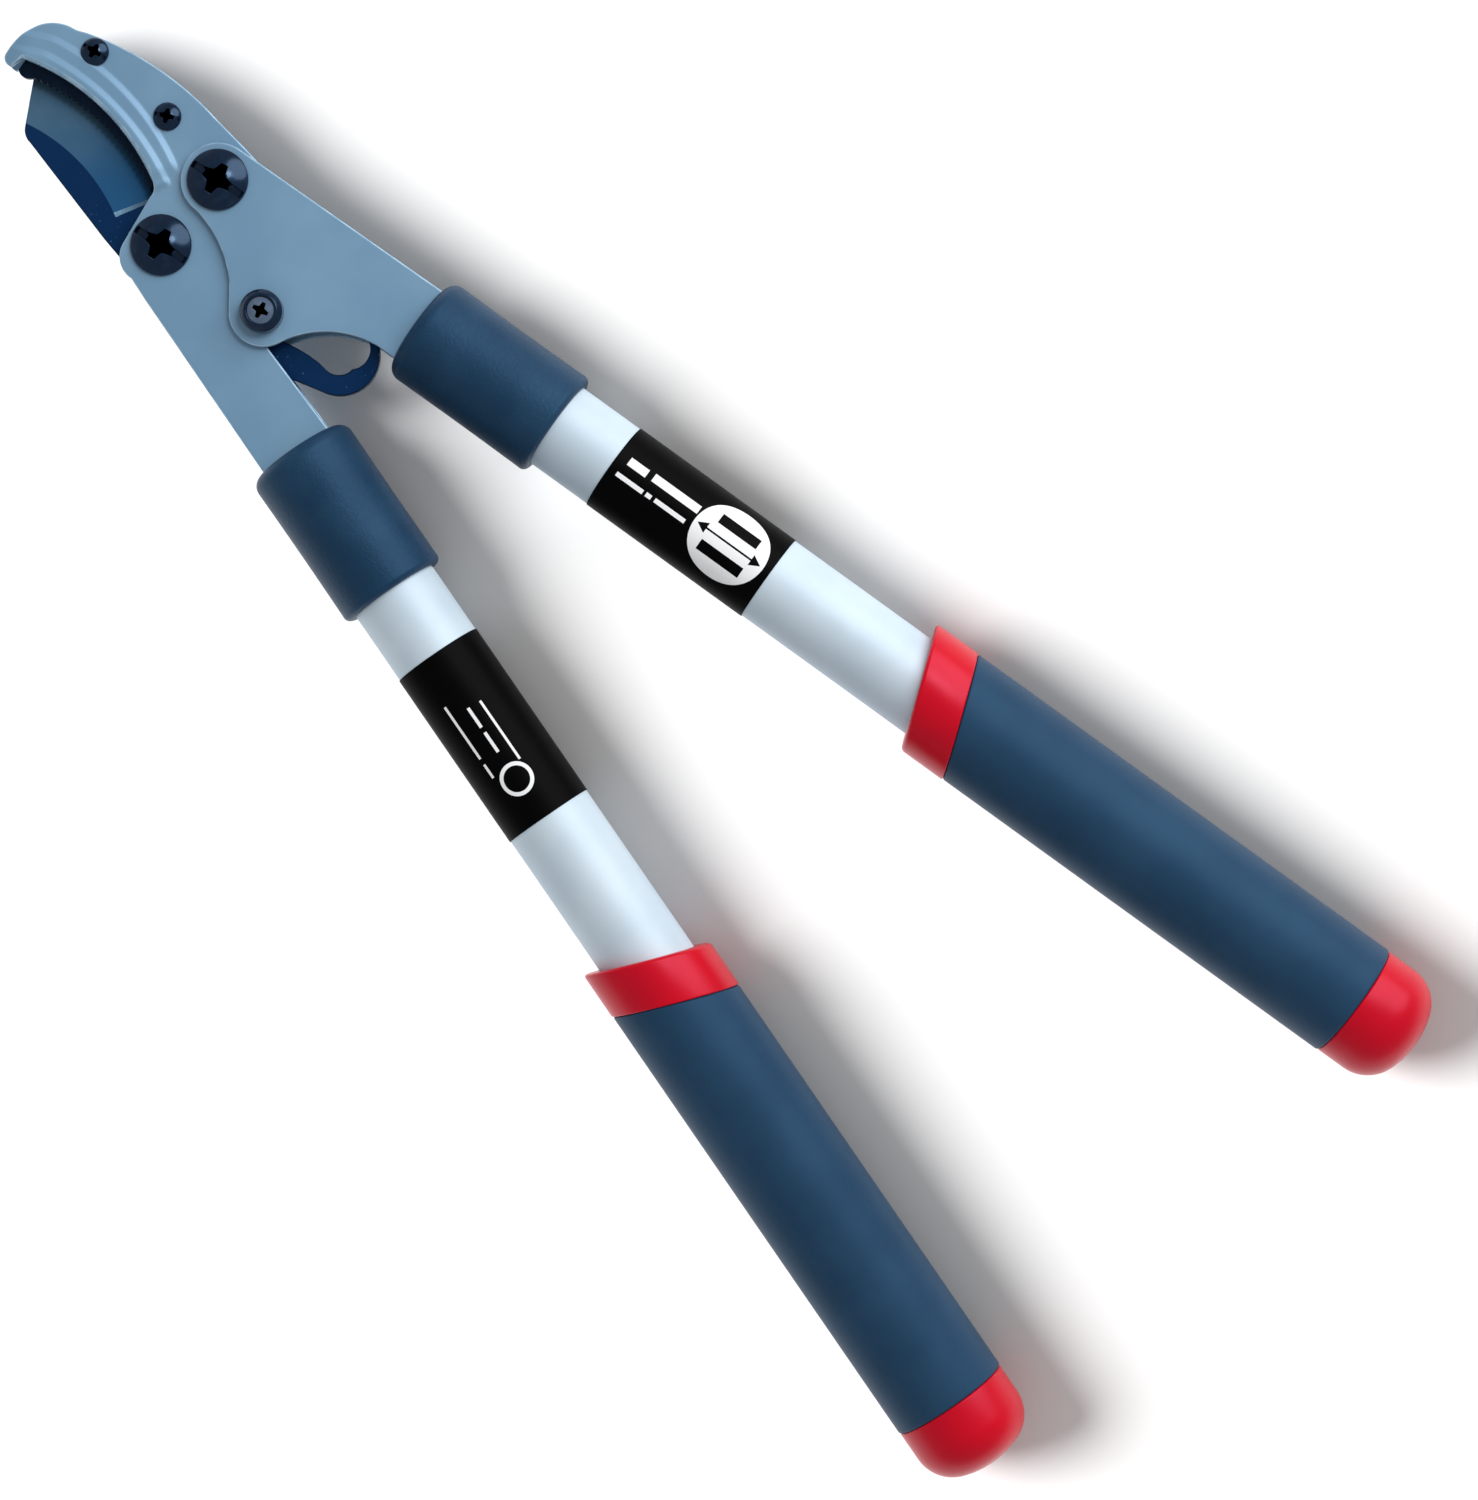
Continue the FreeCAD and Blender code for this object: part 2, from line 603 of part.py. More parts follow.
def tube_along(outer, start, end, inner=0.0):
    """A round bar or tube along +X."""
    bar = Part.makeCylinder(outer, end - start, Vector(start, 0, 0), Vector(1, 0, 0))
    if inner:
        bar = bar.cut(Part.makeCylinder(inner, end - start, Vector(start, 0, 0), Vector(1, 0, 0)))
    return bar


def rivet_bars(side, gap):
    """The cross rivets of a handle, grown by a gap, in the plan's own frame."""
    reach = math.sqrt(TUBE_R ** 2 - RIVET_R ** 2) - SEAT_GAP
    bars = []
    for place in RIVET_PLACES:
        bars.append(rod(on_handle(side, TUBE_START + place, 0), RIVET_R + gap, -reach, reach))
    return bars


def handle_tube(side):
    """The thin tube of a handle, from inside the sleeve to inside the grip's cap."""
    tube = laid(side, tube_along(TUBE_R, TUBE_START, CAP_END - CAP_WALL - SLEEVE_GAP, BORE_R))
    holes = [rod(on_handle(side, TUBE_START + place, 0), RIVET_R + SEAT_GAP, -TUBE_R, TUBE_R)
             for place in RIVET_PLACES]
    return tube.cut(holes)


def handle_insert(side, inner, outer):
    """The plug that holds both plates' tangs inside the tube, with a slot for each."""
    start = TUBE_START + SLEEVE_GAP
    plug = tube_along(BORE_R - SEAT_GAP, start, TANG_END + INSERT_END_WALL)
    half = tang_half(outer) + SEAT_GAP
    for low in (inner - SEAT_GAP, -outer - SEAT_GAP):
        plug = plug.cut(Part.makeBox(TANG_END + SLEEVE_GAP, 2 * half, outer - inner + 2 * SEAT_GAP,
                                     Vector(0, -half, low)))
    return laid(side, plug).cut(rivet_bars(side, SEAT_GAP))


def handle_rivets(side):
    """The rivets that pin the tube, insert and tangs together, flush under the sleeve."""
    return Part.makeCompound(rivet_bars(side, 0))


def handle_sleeve(side, plate_half, outer):
    """The rubber sleeve over the joint of plates and tube, slotted in its end wall."""
    start = SLEEVE_START
    end = SLEEVE_START + SLEEVE_LENGTH
    body = tube_along(SLEEVE_R, start, end)
    body = body.makeFillet(SLEEVE_HEAD_ROUND, near(body, Vector(start, 0, 0), 0.1))
    body = body.makeFillet(SLEEVE_TAIL_ROUND, near(body, Vector(end, 0, 0), 0.1))
    body = body.cut(tube_along(TUBE_R + SEAT_GAP, start + SLEEVE_WALL, end))
    half = max(plate_half, tang_half(outer)) + SLEEVE_GAP
    return laid(side, body.cut(Part.makeBox(SLEEVE_WALL, 2 * half, 2 * (outer + SLEEVE_GAP),
                                            Vector(start, -half, -outer - SLEEVE_GAP))))


def handle_label(side, gap, length):
    """The thin printed band round the tube."""
    start = SLEEVE_START + SLEEVE_LENGTH + gap
    return laid(side, tube_along(TUBE_R + SEAT_GAP + LABEL_THICKNESS, start, start + length,
                                 TUBE_R + SEAT_GAP))


def slanted_slab(side, start, end):
    """The block between two upright planes across a handle, nearer the head on the outer side."""
    drift = side * CUT_SIZE * math.tan(math.radians(COLLAR_SLANT))
    corners = [(start + drift, -CUT_SIZE), (end + drift, -CUT_SIZE),
               (end - drift, CUT_SIZE), (start - drift, CUT_SIZE)]
    return slab(outline(corners[0], *[(corner,) for corner in corners[1:]]), -CUT_SIZE, CUT_SIZE)


def cap_solid():
    """The closed end of a grip: a round corner that runs into a shallow dome."""
    sweep = math.radians(CAP_ROUND_SWEEP)
    inset = CAP_R - CAP_ROUND
    past = inset / math.cos(sweep)
    bend = CAP_END - CAP_ROUND - past * (1 - math.sin(sweep))
    half_turn = sweep / 2
    corner = (CAP_ROUND * math.cos(half_turn) + inset, bend + CAP_ROUND * math.sin(half_turn))
    join = (CAP_ROUND * math.cos(sweep) + inset, bend + CAP_ROUND * math.sin(sweep))
    dome_r = CAP_ROUND + past
    lift = (math.pi / 2 - sweep) / 2
    crown = (dome_r * math.sin(lift), CAP_END - dome_r * (1 - math.cos(lift)))
    cap = turning([(0, CAP_START), (CAP_R, CAP_START), (CAP_R, bend), (corner, join),
                   (crown, (0, CAP_END))])
    cap.rotate(Vector(0, 0, 0), Vector(0, 1, 0), 90)
    return cap


def grip_core(side):
    """The moulded core of a grip in one piece: slanted collar, thin tube and end cap."""
    reach = COLLAR_R * math.tan(math.radians(COLLAR_SLANT)) + 1
    collar = tube_along(COLLAR_R, COLLAR_START - reach, COVER_START + reach)
    collar = collar.common(slanted_slab(side, COLLAR_START, COVER_START))
    collar = collar.makeFillet(COLLAR_ROUND, near(collar, Vector(COLLAR_START, 0, 0), 2.0))
    liner = tube_along(LINER_R, COVER_START, CAP_START)
    core = fused([collar, liner, cap_solid()])
    return laid(side, core.cut(tube_along(TUBE_R + SEAT_GAP, 0, CAP_END - CAP_WALL)))


def grip_cover(side):
    """The soft cover on a grip, between the slanted collar and the cap."""
    reach = COLLAR_R * math.tan(math.radians(COLLAR_SLANT)) + 1
    body = tube_along(COVER_R, COVER_START - reach, CAP_START - SEAT_GAP)
    body = body.common(slanted_slab(side, COVER_START + SEAT_GAP, CAP_START + CUT_SIZE))
    rims = near(body, Vector(COVER_START, 0, 0), 2.0) + near(body, Vector(CAP_START, 0, 0), 2.0)
    body = body.makeFillet(COVER_ROUND, rims)
    return laid(side, body.cut(tube_along(COVER_R - COVER_WALL, 0, CAP_END)))


# ---- the whole tool ----

def handle_parts(name, side, plate_half, inner, outer, label_gap, label_length):
    """Every sub-part of one handle, by node name."""
    return {name + "_tube": handle_tube(side),
            name + "_tube_insert": handle_insert(side, inner, outer),
            name + "_tube_rivets": handle_rivets(side),
            name + "_sleeve": handle_sleeve(side, plate_half, outer),
            name + "_label": handle_label(side, label_gap, label_length),
            name + "_grip_core": grip_core(side),
            name + "_grip_cover": grip_cover(side)}


def head_parts():
    """Every sub-part of the head that the left handle carries, by node name."""
    arm_seat = ARM_OUTER + SLIDE_GAP
    return {"hook_plate_front": hook_plate_front(),
            "hook_plate_rear": hook_plate_rear(),
            "counter_blade": counter_blade(),
            "hook_spacer": hook_spacer(),
            "hook_screws": hook_screws(),
            "hook_screw_nuts": hook_screw_nuts(),
            "blade_pivot_bolt": pivot_bolt((0, 0), HOOK_OUTER),
            "blade_pivot_bush": blade_pivot_bush(),
            "blade_pivot_washers": blade_pivot_washers(),
            "blade_pivot_nut": pivot_nut((0, 0), HOOK_OUTER),
            "arm_pivot_bolt": pivot_bolt(ARM_PIVOT, arm_seat),
            "arm_pivot_bush": arm_pivot_bush(),
            "arm_pivot_washers": arm_pivot_washers(),
            "arm_pivot_nut": pivot_nut(ARM_PIVOT, arm_seat)}


def arm_parts():
    """Every sub-part of the right arm's head end, by node name."""
    return {"arm_plate_front": arm_plate(ARM_INNER, ARM_OUTER),
            "arm_plate_rear": arm_plate(-ARM_OUTER, -ARM_INNER),
            "drive_pin": drive_pin(),
            "drive_pin_collar": drive_pin_collar(),
            "drive_pin_screw": drive_pin_screw(),
            "drive_pin_spacers": drive_pin_spacers(),
            "drive_roller": drive_roller()}


def base_point(parts):
    """The middle of the underside of all the parts together."""
    box = Part.makeCompound(list(parts.values())).optimalBoundingBox(False, False)
    return Vector((box.XMin + box.XMax) / 2, (box.YMin + box.YMax) / 2, box.ZMin)


def all_parts():
    """Every sub-part by node name, still drawn from the blade pivot."""
    parts = head_parts()
    parts["blade"] = blade()
    parts.update(arm_parts())
    parts.update(handle_parts("left", -1, LEFT_PLATE_HALF, HALF_GAP, HOOK_OUTER,
                              LEFT_LABEL_GAP, LEFT_LABEL_LENGTH))
    parts.update(handle_parts("right", 1, RIGHT_PLATE_HALF, ARM_INNER, ARM_OUTER,
                              RIGHT_LABEL_GAP, RIGHT_LABEL_LENGTH))
    return parts


def main():
    """Stand the tool on its base point and write one file for each sub-part."""
    parts = all_parts()
    base = base_point(parts)
    os.makedirs("parts", exist_ok=True)
    for name, shape in parts.items():
        shape.translate(base.negative())
        shape.exportStep(os.path.join("parts", name + ".step"))
        print(name, "solids", len(shape.Solids), "valid", shape.isValid(), "volume", round(shape.Volume, 1))
    print("origin lies at", [round(value, 3) for value in base], "from the blade pivot")


if __name__ == "__main__":
    main()
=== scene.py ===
"""The looks of a pair of bypass loppers with a compound drive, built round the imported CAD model.

The head is worked out on its plan: millimetres from the blade pivot, +Y to the hook, +X to the
moving arm and +Z out of the face with the bolt heads, with Z = 0 half way through the head. The
handles are worked out along their own axes. Every mesh is then laid in the row frame, in metres.
"""

import json
import logging
import math
from dataclasses import dataclass
from enum import Enum
from typing import Callable, Mapping, Sequence, Union

import bmesh
import bpy
import numpy as np
from mathutils import Matrix, Vector
from mathutils.geometry import delaunay_2d_cdt


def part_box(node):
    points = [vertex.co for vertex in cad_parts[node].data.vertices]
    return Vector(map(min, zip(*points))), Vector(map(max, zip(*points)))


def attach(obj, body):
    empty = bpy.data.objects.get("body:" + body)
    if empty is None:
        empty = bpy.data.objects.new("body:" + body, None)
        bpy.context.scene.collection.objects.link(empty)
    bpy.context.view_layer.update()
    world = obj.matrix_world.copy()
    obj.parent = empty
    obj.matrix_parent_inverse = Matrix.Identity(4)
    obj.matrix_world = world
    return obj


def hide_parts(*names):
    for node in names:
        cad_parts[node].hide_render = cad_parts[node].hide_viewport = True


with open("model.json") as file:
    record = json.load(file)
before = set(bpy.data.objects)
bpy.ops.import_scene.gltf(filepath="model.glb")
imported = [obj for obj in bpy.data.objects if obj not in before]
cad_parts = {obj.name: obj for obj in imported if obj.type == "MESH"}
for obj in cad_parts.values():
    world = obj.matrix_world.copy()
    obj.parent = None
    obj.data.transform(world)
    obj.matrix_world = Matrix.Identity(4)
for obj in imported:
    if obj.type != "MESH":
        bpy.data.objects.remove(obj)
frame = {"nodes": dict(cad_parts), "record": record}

Array = np.ndarray
Colour = tuple[float, float, float]
Height = Callable[[Array], Array]

MM = 0.001
MERGE = 2e-6
log = logging.getLogger("loppers")


# ---------------------------------------------------------------- shader graphs

class Sock:
    """One output of a shader graph. Arithmetic on it adds Math nodes."""

    def __init__(self, graph: "Graph", socket: bpy.types.NodeSocket) -> None:
        """Keeps the graph and the socket."""
        self.graph = graph
        self.socket = socket

    def math(self, operation: str, *others: "Value") -> "Sock":
        """Adds a Math node with this socket first.

        Args:
            operation: the Math node's operation.
            others: its second and third inputs.
        Returns:
            The node's result.
        """
        return self.graph.node("ShaderNodeMath", {"operation": operation},
                               dict(enumerate((self, *others))))

    def flipped(self, operation: str, other: "Value") -> "Sock":
        """Adds a Math node with this socket second and returns its result."""
        return self.graph.node("ShaderNodeMath", {"operation": operation}, {0: other, 1: self})

    def __add__(self, other: "Value") -> "Sock":
        """self + other."""
        return self.math("ADD", other)

    def __radd__(self, other: "Value") -> "Sock":
        """other + self."""
        return self.flipped("ADD", other)

    def __sub__(self, other: "Value") -> "Sock":
        """self - other."""
        return self.math("SUBTRACT", other)

    def __rsub__(self, other: "Value") -> "Sock":
        """other - self."""
        return self.flipped("SUBTRACT", other)

    def __mul__(self, other: "Value") -> "Sock":
        """self * other."""
        return self.math("MULTIPLY", other)

    def __rmul__(self, other: "Value") -> "Sock":
        """other * self."""
        return self.flipped("MULTIPLY", other)

    def __pow__(self, other: "Value") -> "Sock":
        """self ** other."""
        return self.math("POWER", other)

    def __gt__(self, other: "Value") -> "Sock":
        """1 where self is above other, else 0."""
        return self.math("GREATER_THAN", other)

    def __lt__(self, other: "Value") -> "Sock":
        """1 where self is below other, else 0."""
        return self.math("LESS_THAN", other)

    def size(self) -> "Sock":
        """The value without its sign."""
        return self.math("ABSOLUTE")

    def clear(self) -> "Sock":
        """The value held between 0 and 1."""
        return self.graph.node("ShaderNodeClamp", {}, {"Value": self})

    def rise(self, low: float, high: float) -> "Sock":
        """0 below low, 1 above high and a smooth rise between.

        Args:
            low: the value that gives 0.
            high: the value that gives 1.
        Returns:
            The eased value.
        """
        settings = {"interpolation_type": "SMOOTHSTEP"}
        return self.graph.node("ShaderNodeMapRange", settings,
                               {"Value": self, "From Min": low, "From Max": high})


Value = Union[Sock, float]


class Graph:
    """The node tree of one material, with a Principled surface at its end."""

    def __init__(self, name: str) -> None:
        """Starts an empty material of that name.

        Args:
            name: the material's name.
        """
        self.material = bpy.data.materials.new(name)
        self.material.use_nodes = True
        self.tree = self.material.node_tree
        self.tree.nodes.clear()

    def node(self, kind: str, settings: Mapping[str, object], values: Mapping[object, object],
             output: Union[int, str] = 0) -> Sock:
        """Adds any node.

        Args:
            kind: the node's type.
            settings: its own settings, which are set first.
            values: numbers, colours or sockets for its inputs, by name or number.
            output: the output that is wanted.
        Returns:
            That output.
        """
        made = self.tree.nodes.new(kind)
        for name, value in settings.items():
            setattr(made, name, value)
        for name, value in values.items():
            socket = made.inputs[name]
            if isinstance(value, Sock):
                self.tree.links.new(value.socket, socket)
            elif socket.type == "RGBA":
                socket.default_value = (*value, 1.0)
            else:
                socket.default_value = value
        return Sock(self, made.outputs[output])

    def place(self) -> Sock:
        """The point on the object, in metres."""
        return self.node("ShaderNodeTexCoord", {}, {}, "Object")

    def attribute(self, name: str) -> Sock:
        """A number stored on the mesh."""
        return self.node("ShaderNodeAttribute", {"attribute_name": name}, {}, "Fac")

    def noise(self, scale: float, detail: float = 3.0, roughness: float = 0.5) -> Sock:
        """Cloudy noise from 0 to 1 whose spots are 1 / scale metres wide."""
        return self.node("ShaderNodeTexNoise", {}, {"Vector": self.place(), "Scale": scale,
                                                    "Detail": detail, "Roughness": roughness})

    def cell_borders(self, scale: float, at: Sock) -> Sock:
        """The distance to the nearest border of a cell pattern, in cells."""
        return self.node("ShaderNodeTexVoronoi", {"feature": "DISTANCE_TO_EDGE"},
                         {"Vector": at, "Scale": scale}, "Distance")

    def mix(self, share: Value, first: Union[Sock, Colour], second: Union[Sock, Colour]) -> Sock:
        """A colour between two colours."""
        return self.node("ShaderNodeMix", {"data_type": "RGBA"}, {0: share, 6: first, 7: second}, 2)

    def bump(self, height: Sock, depth: float, under: Union[Sock, None] = None) -> Sock:
        """A normal from a height of 0 to 1 that stands for a depth in metres.

        Args:
            height: 0 in the valleys and 1 on the peaks.
            depth: how far the peaks stand out, in metres.
            under: a normal that this one is laid over, if any.
        Returns:
            The normal.
        """
        values = {"Height": height, "Distance": depth, "Strength": 1.0}
        if under is not None:
            values["Normal"] = under
        return self.node("ShaderNodeBump", {}, values)

    def surface(self, values: Mapping[str, object]) -> bpy.types.Material:
        """Ends the graph with a Principled surface.

        Args:
            values: what goes into the surface's inputs.
        Returns:
            The finished material.
        """
        shader = self.node("ShaderNodeBsdfPrincipled", {}, values)
        end = self.tree.nodes.new("ShaderNodeOutputMaterial")
        self.tree.links.new(shader.socket, end.inputs["Surface"])
        return self.material


# ---------------------------------------------------------------- finishes

@dataclass(frozen=True)
class PlateCoat:
    """Satin grey-blue coat on the pressed plates, with a painted highlight that lightens their rims."""

    colour: Colour = (0.150, 0.290, 0.440)
    cloud: Colour = (0.178, 0.326, 0.476)
    # The lighter colour that the rims take: a painted highlight.
    rim: Colour = (0.42, 0.60, 0.75)

    def paint(self) -> bpy.types.Material:
        """Clouded colour, a painted highlight that lightens the rims marked on the mesh in patches, and
        a fine orange-peel surface.

        Returns:
            The finished material.
        """
        graph = Graph("plate_coat")
        clouds = graph.noise(38.0, 3.0)
        peel = graph.noise(2600.0, 2.0)
        # Painted highlight: the rims marked on the mesh are lightened in patches and made a little
        # glossier.
        worn_and_painted_light = graph.attribute("wear_and_painted_light") * (0.35 + 0.65 * graph.noise(240.0, 4.0).rise(0.35, 0.65))
        base = graph.mix(clouds.rise(0.35, 0.7), self.colour, self.cloud)
        return graph.surface({"Base Color": graph.mix(worn_and_painted_light * 0.6, base, self.rim),
                              "Roughness": 0.40 + 0.10 * clouds - 0.12 * worn_and_painted_light,
                              "Metallic": 0.25, "Coat Weight": 0.12, "Coat Roughness": 0.3,
                              "Normal": graph.bump(peel, 0.000010)})


@dataclass(frozen=True)
class BladeCoat:
    """Dark navy coat on the blade with painted shade on its rims; the bevel ground grey-blue, with fine
    grinding lines and a painted highlight on its facet.
    """

    centre: tuple[float, float]
    bevel_r: float
    start: float
    facet: float
    under: float
    coat: Colour = (0.002, 0.016, 0.066)
    cloud: Colour = (0.005, 0.029, 0.088)
    shade: Colour = (0.0, 0.004, 0.018)
    chip: Colour = (0.22, 0.34, 0.46)
    ground: Colour = (0.072, 0.140, 0.208)
    low_ground: Colour = (0.012, 0.060, 0.145)
    stain: Colour = (0.020, 0.075, 0.150)
    facet_highlight: Colour = (0.17, 0.31, 0.44)

    def paint(self) -> bpy.types.Material:
        """The bevel is above the underside, where the edge's centre is further than its top.

        A line at the bevel's start angle splits it from the coat, and the strip beside that line
        is the run-out of the grinding, lightened as a painted highlight. Rims marked on the mesh are
        darkened as painted shade. Lines follow the edge as rings round its centre.

        Returns:
            The finished material.
        """
        graph = Graph("blade_coat")
        spot = graph.place()
        parts = {axis: graph.node("ShaderNodeSeparateXYZ", {}, {0: spot}, axis) for axis in "XYZ"}
        east = parts["X"] - self.centre[0]
        north = parts["Y"] - self.centre[1]
        reach = (east * east + north * north) ** 0.5
        past = north * math.cos(self.start) - east * math.sin(self.start)
        bevel = (reach > self.bevel_r) * (past > 0.0) * (parts["Z"] > self.under)
        run_out = bevel * (past < self.facet)
        rings = graph.node("ShaderNodeTexNoise", {"noise_dimensions": "1D"},
                           {"W": reach * 5200.0, "Scale": 1.0, "Detail": 3.0})
        wear_and_painted_light = graph.noise(1100.0, 5.0).rise(0.66, 0.72)
        clouds = graph.noise(60.0, 3.0)
        tone = graph.mix(clouds * 0.6, self.coat, self.cloud)
        # Painted shade: the rims marked on the mesh are darkened towards near black.
        dark = graph.mix(graph.attribute("wear_and_painted_light"), tone, self.shade)
        coat = graph.mix(wear_and_painted_light * graph.noise(90.0).rise(0.5, 0.65) * 0.7, dark, self.chip)
        low_end = past.rise(self.facet * 6.0, self.facet * 24.0)
        dim = graph.mix(low_end, self.low_ground, self.ground)
        ground = graph.mix(clouds.rise(0.3, 0.7) * 0.4 + rings * 0.2, dim, self.stain)
        # Painted highlight: the facet strip beside the bevel's start line is lightened.
        skin = graph.mix(run_out, graph.mix(bevel, coat, ground), self.facet_highlight)
        relief = graph.bump(rings * bevel + wear_and_painted_light * (1.0 - bevel) * 0.5, 0.000008)
        return graph.surface({"Base Color": skin, "Roughness": 0.24 + 0.20 * bevel + 0.10 * clouds,
                              "Metallic": 0.5 * bevel, "Specular Tint": (0.15, 0.45, 1.0),
                              "Specular IOR Level": 0.35, "Normal": relief})


@dataclass(frozen=True)
class BlackSteel:
    """Glossy blackened steel of the screws, nuts, pins and the counter blade."""

    name: str = "black_steel"
    colour: Colour = (0.0008, 0.005, 0.018)
    # The lighter colour of rubbed patches and of the painted highlight on marked rims.
    worn_and_painted_light: Colour = (0.006, 0.020, 0.046)
    gloss: float = 0.15
    coat: float = 0.20
    tint: Colour = (0.26, 0.55, 1.0)

    def paint(self) -> bpy.types.Material:
        """Dark oxide with rubbing in clouds, rims painted lighter as a painted highlight, recesses
        painted black as painted shade, and a lightly rippled gloss.

        Returns:
            The finished material.
        """
        graph = Graph(self.name)
        clouds = graph.noise(420.0, 4.0)
        specks = graph.noise(2300.0, 3.0).rise(0.62, 0.74)
        wear_and_painted_light = graph.attribute("wear_and_painted_light")
        # Painted shade: the recess floor marked on the mesh is painted black, fully in the cross and a
        # quarter of the way past it, with its coat taken off.
        deep = (wear_and_painted_light * -1.0).clear()
        # Rubbing in clouds and specks, and a painted highlight on the rims marked on the mesh, all
        # lighten towards the second colour.
        rubbed_and_lit = clouds.rise(0.45, 0.75) * 0.5 + specks * 0.15 + wear_and_painted_light * 0.5
        skin = graph.mix(rubbed_and_lit.clear(), self.colour, self.worn_and_painted_light)
        return graph.surface({"Base Color": graph.mix(deep, skin, (0.0, 0.0, 0.0)),
                              "Roughness": self.gloss + 0.12 * clouds + 0.3 * deep,
                              "Metallic": deep, "Coat Weight": self.coat * (1.0 - deep),
                              "Coat Roughness": 0.10,
                              "Specular Tint": self.tint,
                              "Normal": graph.bump(clouds + specks * 0.3, 0.000008)})


@dataclass(frozen=True)
class PlainMetal:
    """Bare metal of the hidden bushes, rivets, roller and spacers."""

    name: str = "plain_metal"
    colour: Colour = (0.42, 0.44, 0.46)
    stained: Colour = (0.26, 0.27, 0.29)

    def paint(self) -> bpy.types.Material:
        """Turned steel, stained in clouds, with fine scratches.

        Returns:
            The finished material.
        """
        graph = Graph(self.name)
        clouds = graph.noise(300.0, 4.0)
        scratches = graph.noise(3000.0, 5.0, 0.7)
        stains = clouds.rise(0.4, 0.7)
        return graph.surface({"Base Color": graph.mix(stains, self.colour, self.stained),
                              "Roughness": 0.28 + 0.2 * scratches, "Metallic": 1.0,
                              "Normal": graph.bump(scratches, 0.000006)})


@dataclass(frozen=True)
class Moulded:
    """A moulded plastic or rubber: a clouded colour, a gloss and a grain."""

    name: str
    colour: Colour
    cloud: Colour
    rough: float
    grain: float
    depth: float
    coat: float = 0.0
    creases: float = 0.0
    tint: Colour = (0.30, 0.62, 1.0)
    shine: float = 0.5
    crease_scale: float = 430.0
    bend: float = 0.0016

    def paint(self) -> bpy.types.Material:
        """Two tones in broad clouds over a fine pebble grain, with creases between cells if any.

        Returns:
            The finished material.
        """
        graph = Graph(self.name)
        clouds = graph.noise(55.0, 3.0)
        pebbles = graph.noise(self.grain, 3.0)
        relief = graph.bump(pebbles, self.depth)
        if self.creases:
            bent = graph.node("ShaderNodeVectorMath", {"operation": "ADD"},
                              {0: graph.place(), 1: graph.node(
                                  "ShaderNodeVectorMath", {"operation": "SCALE"},
                                  {0: graph.node("ShaderNodeTexNoise", {},
                                                 {"Vector": graph.place(), "Scale": 500.0}, "Color"),
                                   "Scale": self.bend})})
            lines = graph.cell_borders(self.crease_scale, bent).rise(0.0, 0.14)
            relief = graph.bump(lines, self.creases, relief)
        tone = graph.mix(clouds.rise(0.3, 0.7), self.colour, self.cloud)
        return graph.surface({"Base Color": tone,
                              "Roughness": self.rough + 0.08 * (pebbles - 0.5) + 0.06 * (clouds - 0.5),
                              "Coat Weight": self.coat, "Coat Roughness": 0.2,
                              "Specular Tint": self.tint, "Specular IOR Level": self.shine,
                              "Normal": relief})


@dataclass(frozen=True)
class TubeCoat:
    """Pale silver-blue coat on the aluminium tubes."""

    colour: Colour = (0.54, 0.66, 0.76)
    cloud: Colour = (0.60, 0.71, 0.80)

    def paint(self) -> bpy.types.Material:
        """Pale coat with faint clouds and metal flakes that show as fine sparkle.

        Returns:
            The finished material.
        """
        graph = Graph("tube_coat")
        clouds = graph.noise(45.0, 3.0)
        flakes = graph.noise(4200.0, 2.0)
        tone = graph.mix(clouds.rise(0.3, 0.7), self.colour, self.cloud)
        return graph.surface({"Base Color": tone, "Roughness": 0.50 + 0.08 * flakes, "Metallic": 0.15,
                              "Specular IOR Level": 0.35,
                              "Normal": graph.bump(flakes, 0.000005)})


@dataclass(frozen=True)
class Bar:
    """A printed bar: middle and half sizes along and across the label, in millimetres."""

    along: float
    across: float
    half_length: float
    half_width: float

    def mask(self, u: Sock, v: Sock) -> Sock:
        """1 inside the bar."""
        along = (u - self.along).size() < self.half_length
        return along * ((v - self.across).size() < self.half_width)


